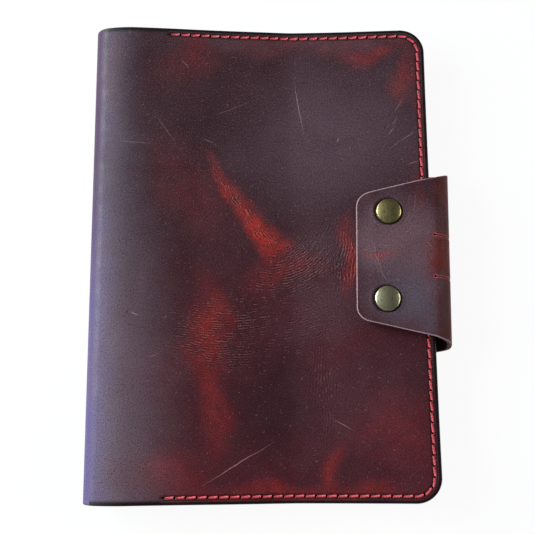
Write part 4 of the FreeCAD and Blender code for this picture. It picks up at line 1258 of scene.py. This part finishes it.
# ---------------------------------------------------------------------------------------------
# The seams. Waxed polyester thread is saddle-stitched by hand through holes 5 mm apart, so that one
# short stitch shows between each pair of holes, outside and inside alike.
# ---------------------------------------------------------------------------------------------

# the thread is a half-gloss red, with the dark lines of its twist slanting round it: painted shade
# in the grooves between its plies
waxed_thread, tree, shader = new_material("waxed thread", IOR=1.5, Roughness=0.42)
along_stitch, round_stitch = parted(tree, add(tree, "UVMap", uv_map="thread").outputs[0])[:2]
strand = reckon(tree, "MULTIPLY_ADD", along_stitch, 4.0, round_stitch)
strand = reckon(tree, "ABSOLUTE", reckon(tree, "SINE", times(tree, strand, 2 * math.pi)))
spot = add(tree, "TexCoord").outputs["Object"]
thread_tone = tinted(tree, noise(tree, spot, 2.5 * MM), colour("c4303a"), colour("f0626c"))
thread_tone = tinted(tree, ramp(tree, strand, 0.0, 0.6, 0.55, 0.0), thread_tone, colour("5c0d12"))
fibre = reckon(tree, "MULTIPLY_ADD", noise(tree, spot, 0.2 * MM), 0.3, strand)
feed(tree, shader, Base_Color=thread_tone, Normal=bumped(tree, fibre, 0.6, 0.2 * MM))

THREAD_HALF = 0.72 * MM  # half the stitch's width, pressed flat
THREAD_RISE = 0.5 * MM  # half its height
STITCH_SIDES = 8


def stitch_row(face, flip):
    """Points and faces of a row of stitches that lie on a face.

    Each stitch is a flattened tube whose middle line rises out of one hole, lies over the leather
    and sinks into the next. It runs a little across the seam, as saddle stitches do. Round it lie
    ellipses of THREAD_HALF by THREAD_RISE, swelled or thinned along the stitch. flip is 1 if the
    face's normal is up from it, and -1 if it is down.
    """
    along = np.array([-0.42, -0.36, -0.2, 0.0, 0.2, 0.36, 0.42])
    rise = np.array([-0.6, 0.0, 0.24, 0.32, 0.24, 0.0, -0.6]) * MM
    swell = np.array([0.5, 0.85, 1.0, 1.0, 1.0, 0.85, 0.5])
    angle = np.arange(STITCH_SIDES) / STITCH_SIDES * 2 * np.pi
    place = (np.arange(STITCHES)[:, None] + 0.5 + along) * PITCH
    point, inward = seam_line(place)
    slant = -0.28 * MM * along / along[-1]
    middle = point + inward * slant[None, :, None]
    reach, v = middle[..., 0], middle[..., 1]
    step = 0.05 * MM
    ahead = seam_line(place + step)[0]
    base = face(reach, v)
    forward = face(ahead[..., 0], ahead[..., 1]) - face(point[..., 0], point[..., 1])
    forward /= np.linalg.norm(forward, axis=-1, keepdims=True)
    side = face(reach + inward[..., 0] * step, v + inward[..., 1] * step) - base
    side -= forward * (side * forward).sum(axis=-1, keepdims=True)
    side /= np.linalg.norm(side, axis=-1, keepdims=True)
    up = np.cross(forward, side) * flip
    centre = base + up * rise[None, :, None]
    ring = (side[:, :, None] * (THREAD_HALF * np.cos(angle))[None, None, :, None]
            + up[:, :, None] * (THREAD_RISE * np.sin(angle))[None, None, :, None])
    points = centre[:, :, None] + ring * swell[None, :, None, None]

    # faces between the ellipses, and one at each end of a stitch
    shape = (STITCHES, len(along), STITCH_SIDES)
    index = np.arange(math.prod(shape)).reshape(shape)
    turned = np.roll(index, -1, axis=2)
    quads = np.stack([index[:, :-1], turned[:, :-1], turned[:, 1:], index[:, 1:]], axis=-1)
    quads = quads.reshape(-1, 4)
    ends = np.concatenate([index[:, 0, ::-1], index[:, -1]])

    # their places on the thread: along the stitch, and round it as a share of a turn
    ring_at = np.repeat(along[None, :, None], STITCHES, axis=0) + 0 * angle
    quad_u = np.stack([ring_at[:, :-1], ring_at[:, :-1], ring_at[:, 1:], ring_at[:, 1:]], axis=-1)
    quad_v = np.stack([angle, angle + angle[1], angle + angle[1], angle], axis=-1) / (2 * np.pi)
    quad_v = quad_v + 0 * quad_u
    end_u = np.concatenate([ring_at[:, 0], ring_at[:, -1]])
    quad_uv = np.stack([quad_u, quad_v], axis=-1).reshape(-1, 4, 2)
    end_uv = np.stack([end_u, 0 * end_u], axis=-1)
    if flip < 0:
        quads, ends, quad_uv = quads[:, ::-1], ends[:, ::-1], quad_uv[:, ::-1]
    uvs = np.vstack([quad_uv.reshape(-1, 2), end_uv.reshape(-1, 2)])
    return points.reshape(-1, 3), quads.tolist() + ends.tolist(), uvs


def add_mesh(name, points, faces, finish, smooth=True):
    """Object made of points and faces, with one finish."""
    mesh = bpy.data.meshes.new(name)
    mesh.from_pydata(points.tolist(), [], faces)
    if smooth:
        mesh.shade_smooth()
    return add_piece(name, mesh, finish)


def seam_bed(sign, origin, depth):
    """Face on which a row of stitches lies, at a depth under the grain side, without its holes."""
    return lambda reach, v: sheet_face(origin + sign * reach, v, depth)


GRAIN_BED = 0.2 * MM  # the outer stitches lie in the seam's channel
PANEL_BED = LEATHER + PANEL - 0.05 * MM  # and the inner ones on the panel

for name, node, body, sign, origin in (
    ("back_seam_stitches", "back_seam_thread", "back_cover", 1, U_BACK),
    ("front_seam_stitches", "front_seam_thread", "front_cover", -1, U_END),
):
    outer_points, outer_faces, outer_uvs = stitch_row(seam_bed(sign, origin, GRAIN_BED), -sign)
    inner_points, inner_faces, inner_uvs = stitch_row(seam_bed(sign, origin, PANEL_BED), sign)
    inner_faces = [[corner + len(outer_points) for corner in face] for face in inner_faces]
    seam = add_mesh(name, np.vstack([outer_points, inner_points]), outer_faces + inner_faces,
                    waxed_thread)
    layer = seam.data.uv_layers.new(name="thread")
    layer.data.foreach_set("uv", np.vstack([outer_uvs, inner_uvs]).ravel())
    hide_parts(node)
    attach(seam, body)

# ---------------------------------------------------------------------------------------------
# The snaps. Two ring-spring snaps hold the strap: a pressed cap is clinched through the flap into a
# socket with a wire spring, and a stud is clinched through the front by an eyelet from inside.
# ---------------------------------------------------------------------------------------------

# the caps were blackened and rubbed back: a warm, soft mirror, clouded and specked with brown
antique_brass, tree, shader = new_material("antiqued brass", Metallic=1.0, Roughness=0.4)
spot = add(tree, "TexCoord").outputs["Object"]
patina = noise(tree, spot, 1.6 * MM, 5.0, 0.7)
# painted reflection: the cap at the tail is painted paler, for the pale room and window that it
# mirrors
tail_cap_reflection = ramp(tree, parted(tree, spot)[1], -8 * MM, 8 * MM, 0.6, 0.0)
speck = ramp(tree, noise(tree, spot, 0.6 * MM, 3.0, 0.7), 0.56, 0.66, 0.0, 0.65)
brass_tone = layered(
    tree, tinted(tree, ramp(tree, patina, 0.3, 0.7), colour("8c8048"), colour("c8bd8a")),
    (tail_cap_reflection, colour("c9ccae")),
    (speck, colour("3a3320")),
)
feed(tree, shader, Base_Color=brass_tone, Roughness=ramp(tree, patina, 0.3, 0.7, 0.36, 0.26),
     Normal=bumped(tree, noise(tree, spot, 0.5 * MM), 0.25, 0.04 * MM))

# drawn steel wire: bright and grey, with a faint clouding
spring_steel, tree, shader = new_material("spring wire", Metallic=1.0, Roughness=0.3)
spot = add(tree, "TexCoord").outputs["Object"]
wire_tone = tinted(tree, noise(tree, spot, 0.8 * MM), colour("8a8a88"), colour("b5b4b0"))
feed(tree, shader, Base_Color=wire_tone)

# the cap's profile: a shallow dome, a rim rolled under, and the shank clinched through the leather
CAP_DOME = 16.0 * MM
CAP_HEIGHT = 2.2 * MM
RIM_RADIUS = 0.85 * MM
SHANK_RINGS = 4
dome_end = math.radians(20.0)
dome = np.linspace(0, dome_end, 13)[:, None]
rim = np.linspace(dome_end, math.radians(130), 12)[1:, None]
rim_turn = CAP_DOME - RIM_RADIUS
cap_profile = np.vstack([
    np.hstack([CAP_DOME * np.sin(dome), CAP_HEIGHT - CAP_DOME * (1 - np.cos(dome))]),
    np.hstack([rim_turn * math.sin(dome_end) + RIM_RADIUS * np.sin(rim),
               CAP_HEIGHT - CAP_DOME + rim_turn * math.cos(dome_end) + RIM_RADIUS * np.cos(rim)]),
    np.array([(4.0, -0.3), (1.5, -0.3), (1.5, -2.3), (2.0, -2.4), (2.0, -2.5), (0.0, -2.5)]) * MM,
])


def turned(profile, centre, shift, segments=64):
    """Surface of a profile of (radius, height) turned about an upright axis; its ends are on it.

    The head is shifted from its shank, the last few rings, along X.
    """
    angle = np.arange(segments) / segments * 2 * np.pi
    rings = profile[1:-1]
    is_head = np.arange(len(rings)) < len(rings) - SHANK_RINGS
    middle_x = centre[0] + shift * is_head[:, None]
    points = np.stack([
        middle_x + rings[:, :1] * np.cos(angle),
        centre[1] + rings[:, :1] * np.sin(angle),
        centre[2] + rings[:, 1:] + 0 * angle,
    ], axis=-1).reshape(-1, 3)
    points = np.vstack([points, [centre[0] + shift, centre[1], centre[2] + profile[0, 1]],
                        [centre[0], centre[1], centre[2] + profile[-1, 1]]])
    index = np.arange(len(rings) * segments).reshape(len(rings), segments)
    ahead = np.roll(index, -1, axis=1)
    quads = np.stack([index[:-1], index[1:], ahead[1:], ahead[:-1]], axis=-1).reshape(-1, 4)
    top = np.stack([np.full(segments, len(points) - 2), index[0], ahead[0]], axis=-1)
    foot = np.stack([np.full(segments, len(points) - 1), ahead[-1], index[-1]], axis=-1)
    return points, quads.tolist() + top.tolist() + foot.tolist()


for name, node, shift in (
    ("cap_head", "snap_cap_upper", CAP_SHIFT[0]),
    ("cap_tail", "snap_cap_lower", CAP_SHIFT[1]),
):
    low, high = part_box(node)
    centre = ((low.x + high.x) / 2, (low.y + high.y) / 2, STRAP_Z)
    cap = add_mesh(name, *turned(cap_profile, centre, shift), antique_brass)
    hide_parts(node)
    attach(cap, "flap")

for kind, finish in (
    ("socket", antique_brass), ("stud", antique_brass), ("eyelet", antique_brass),
    ("spring", spring_steel),
):
    for place in ("upper", "lower"):
        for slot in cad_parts[f"snap_{kind}_{place}"].material_slots:
            slot.material = finish

# ---------------------------------------------------------------------------------------------
# The table, the light and the camera. The cover lies on a pale table under a large soft light from
# its upper left, and is seen from above.
# ---------------------------------------------------------------------------------------------

# the table is a matt near-white, and most of what is seen of it is evened out to plain white
table_finish, tree, shader = new_material("pale table", Roughness=0.9)
spot = add(tree, "TexCoord").outputs["Object"]
table_tone = tinted(tree, noise(tree, spot, 20 * MM), colour("f2f2f2"), colour("f6f6f6"))
feed(tree, shader, Base_Color=table_tone)
path = add(tree, "LightPath").outputs
seen = times(tree, most(tree, [path["Is Camera Ray"], path["Is Glossy Ray"]]), 0.93)
white = add(tree, "Emission", {"Color": (1.0, 1.0, 1.0, 1.0), "Strength": 1.0}).outputs[0]
mixed = add(tree, "MixShader", {0: seen, 1: shader.outputs[0], 2: white})
tree.links.new(mixed.outputs[0], tree.nodes["Material Output"].inputs["Surface"])

TABLE_HALF = 3.0
TABLE_DROP = 0.65 * MM  # the stitches under the back keep the leather this far off the table
corners = np.array([(-1, -1, 0), (1, -1, 0), (1, 1, 0), (-1, 1, 0)])
table = add_mesh("table", corners * TABLE_HALF - [0, 0, TABLE_DROP], [[0, 1, 2, 3]], table_finish,
                 smooth=False)

# the room: dim and a little blue, brighter on the window's side, and nearly white where it is seen
world = bpy.data.worlds.new("room")
world.use_nodes = True
tree = world.node_tree
backdrop = tree.nodes["Background"]
aside = parted(tree, add(tree, "TexCoord").outputs["Generated"])[0]
room_glow = ramp(tree, aside, -0.9, 0.7, 0.38, 0.06)
glow = most(tree, [room_glow, add(tree, "LightPath").outputs["Is Camera Ray"]])
tree.links.new(glow, backdrop.inputs["Strength"])
backdrop.inputs["Color"].default_value = (0.95, 0.96, 1.0, 1.0)
bpy.context.scene.world = world


def add_window(name, place, power, tint):
    """Large soft rectangle of light, turned to face the middle of the cover."""
    lamp = bpy.data.lights.new(name, "AREA")
    lamp.shape, lamp.size, lamp.size_y = "RECTANGLE", 0.9, 0.6
    lamp.energy, lamp.color = power, tint
    holder = bpy.data.objects.new(name, lamp)
    holder.location = place
    holder.rotation_euler = (-Vector(place)).to_track_quat("-Z", "Y").to_euler()
    bpy.context.scene.collection.objects.link(holder)


add_window("window", (-1.0, 0.3, 0.65), 27.0, (0.88, 0.94, 1.0))
add_window("room_fill", (1.3, 0.1, 0.45), 8.0, (1.0, 0.97, 0.94))

# the camera looks almost straight down from 39 cm, a little from the tail's side
lens = bpy.data.cameras.new("camera")
lens.sensor_width, lens.lens, lens.clip_start = 36.0, 53.1, 0.01
camera = bpy.data.objects.new("camera", lens)
camera.location = (11.97 * MM, -64.82 * MM, 391.94 * MM)
camera.rotation_euler = (0.1580, 0.0326, -0.0033)
bpy.context.scene.collection.objects.link(camera)
bpy.context.scene.camera = camera
bpy.context.scene.view_settings.view_transform = "Standard"
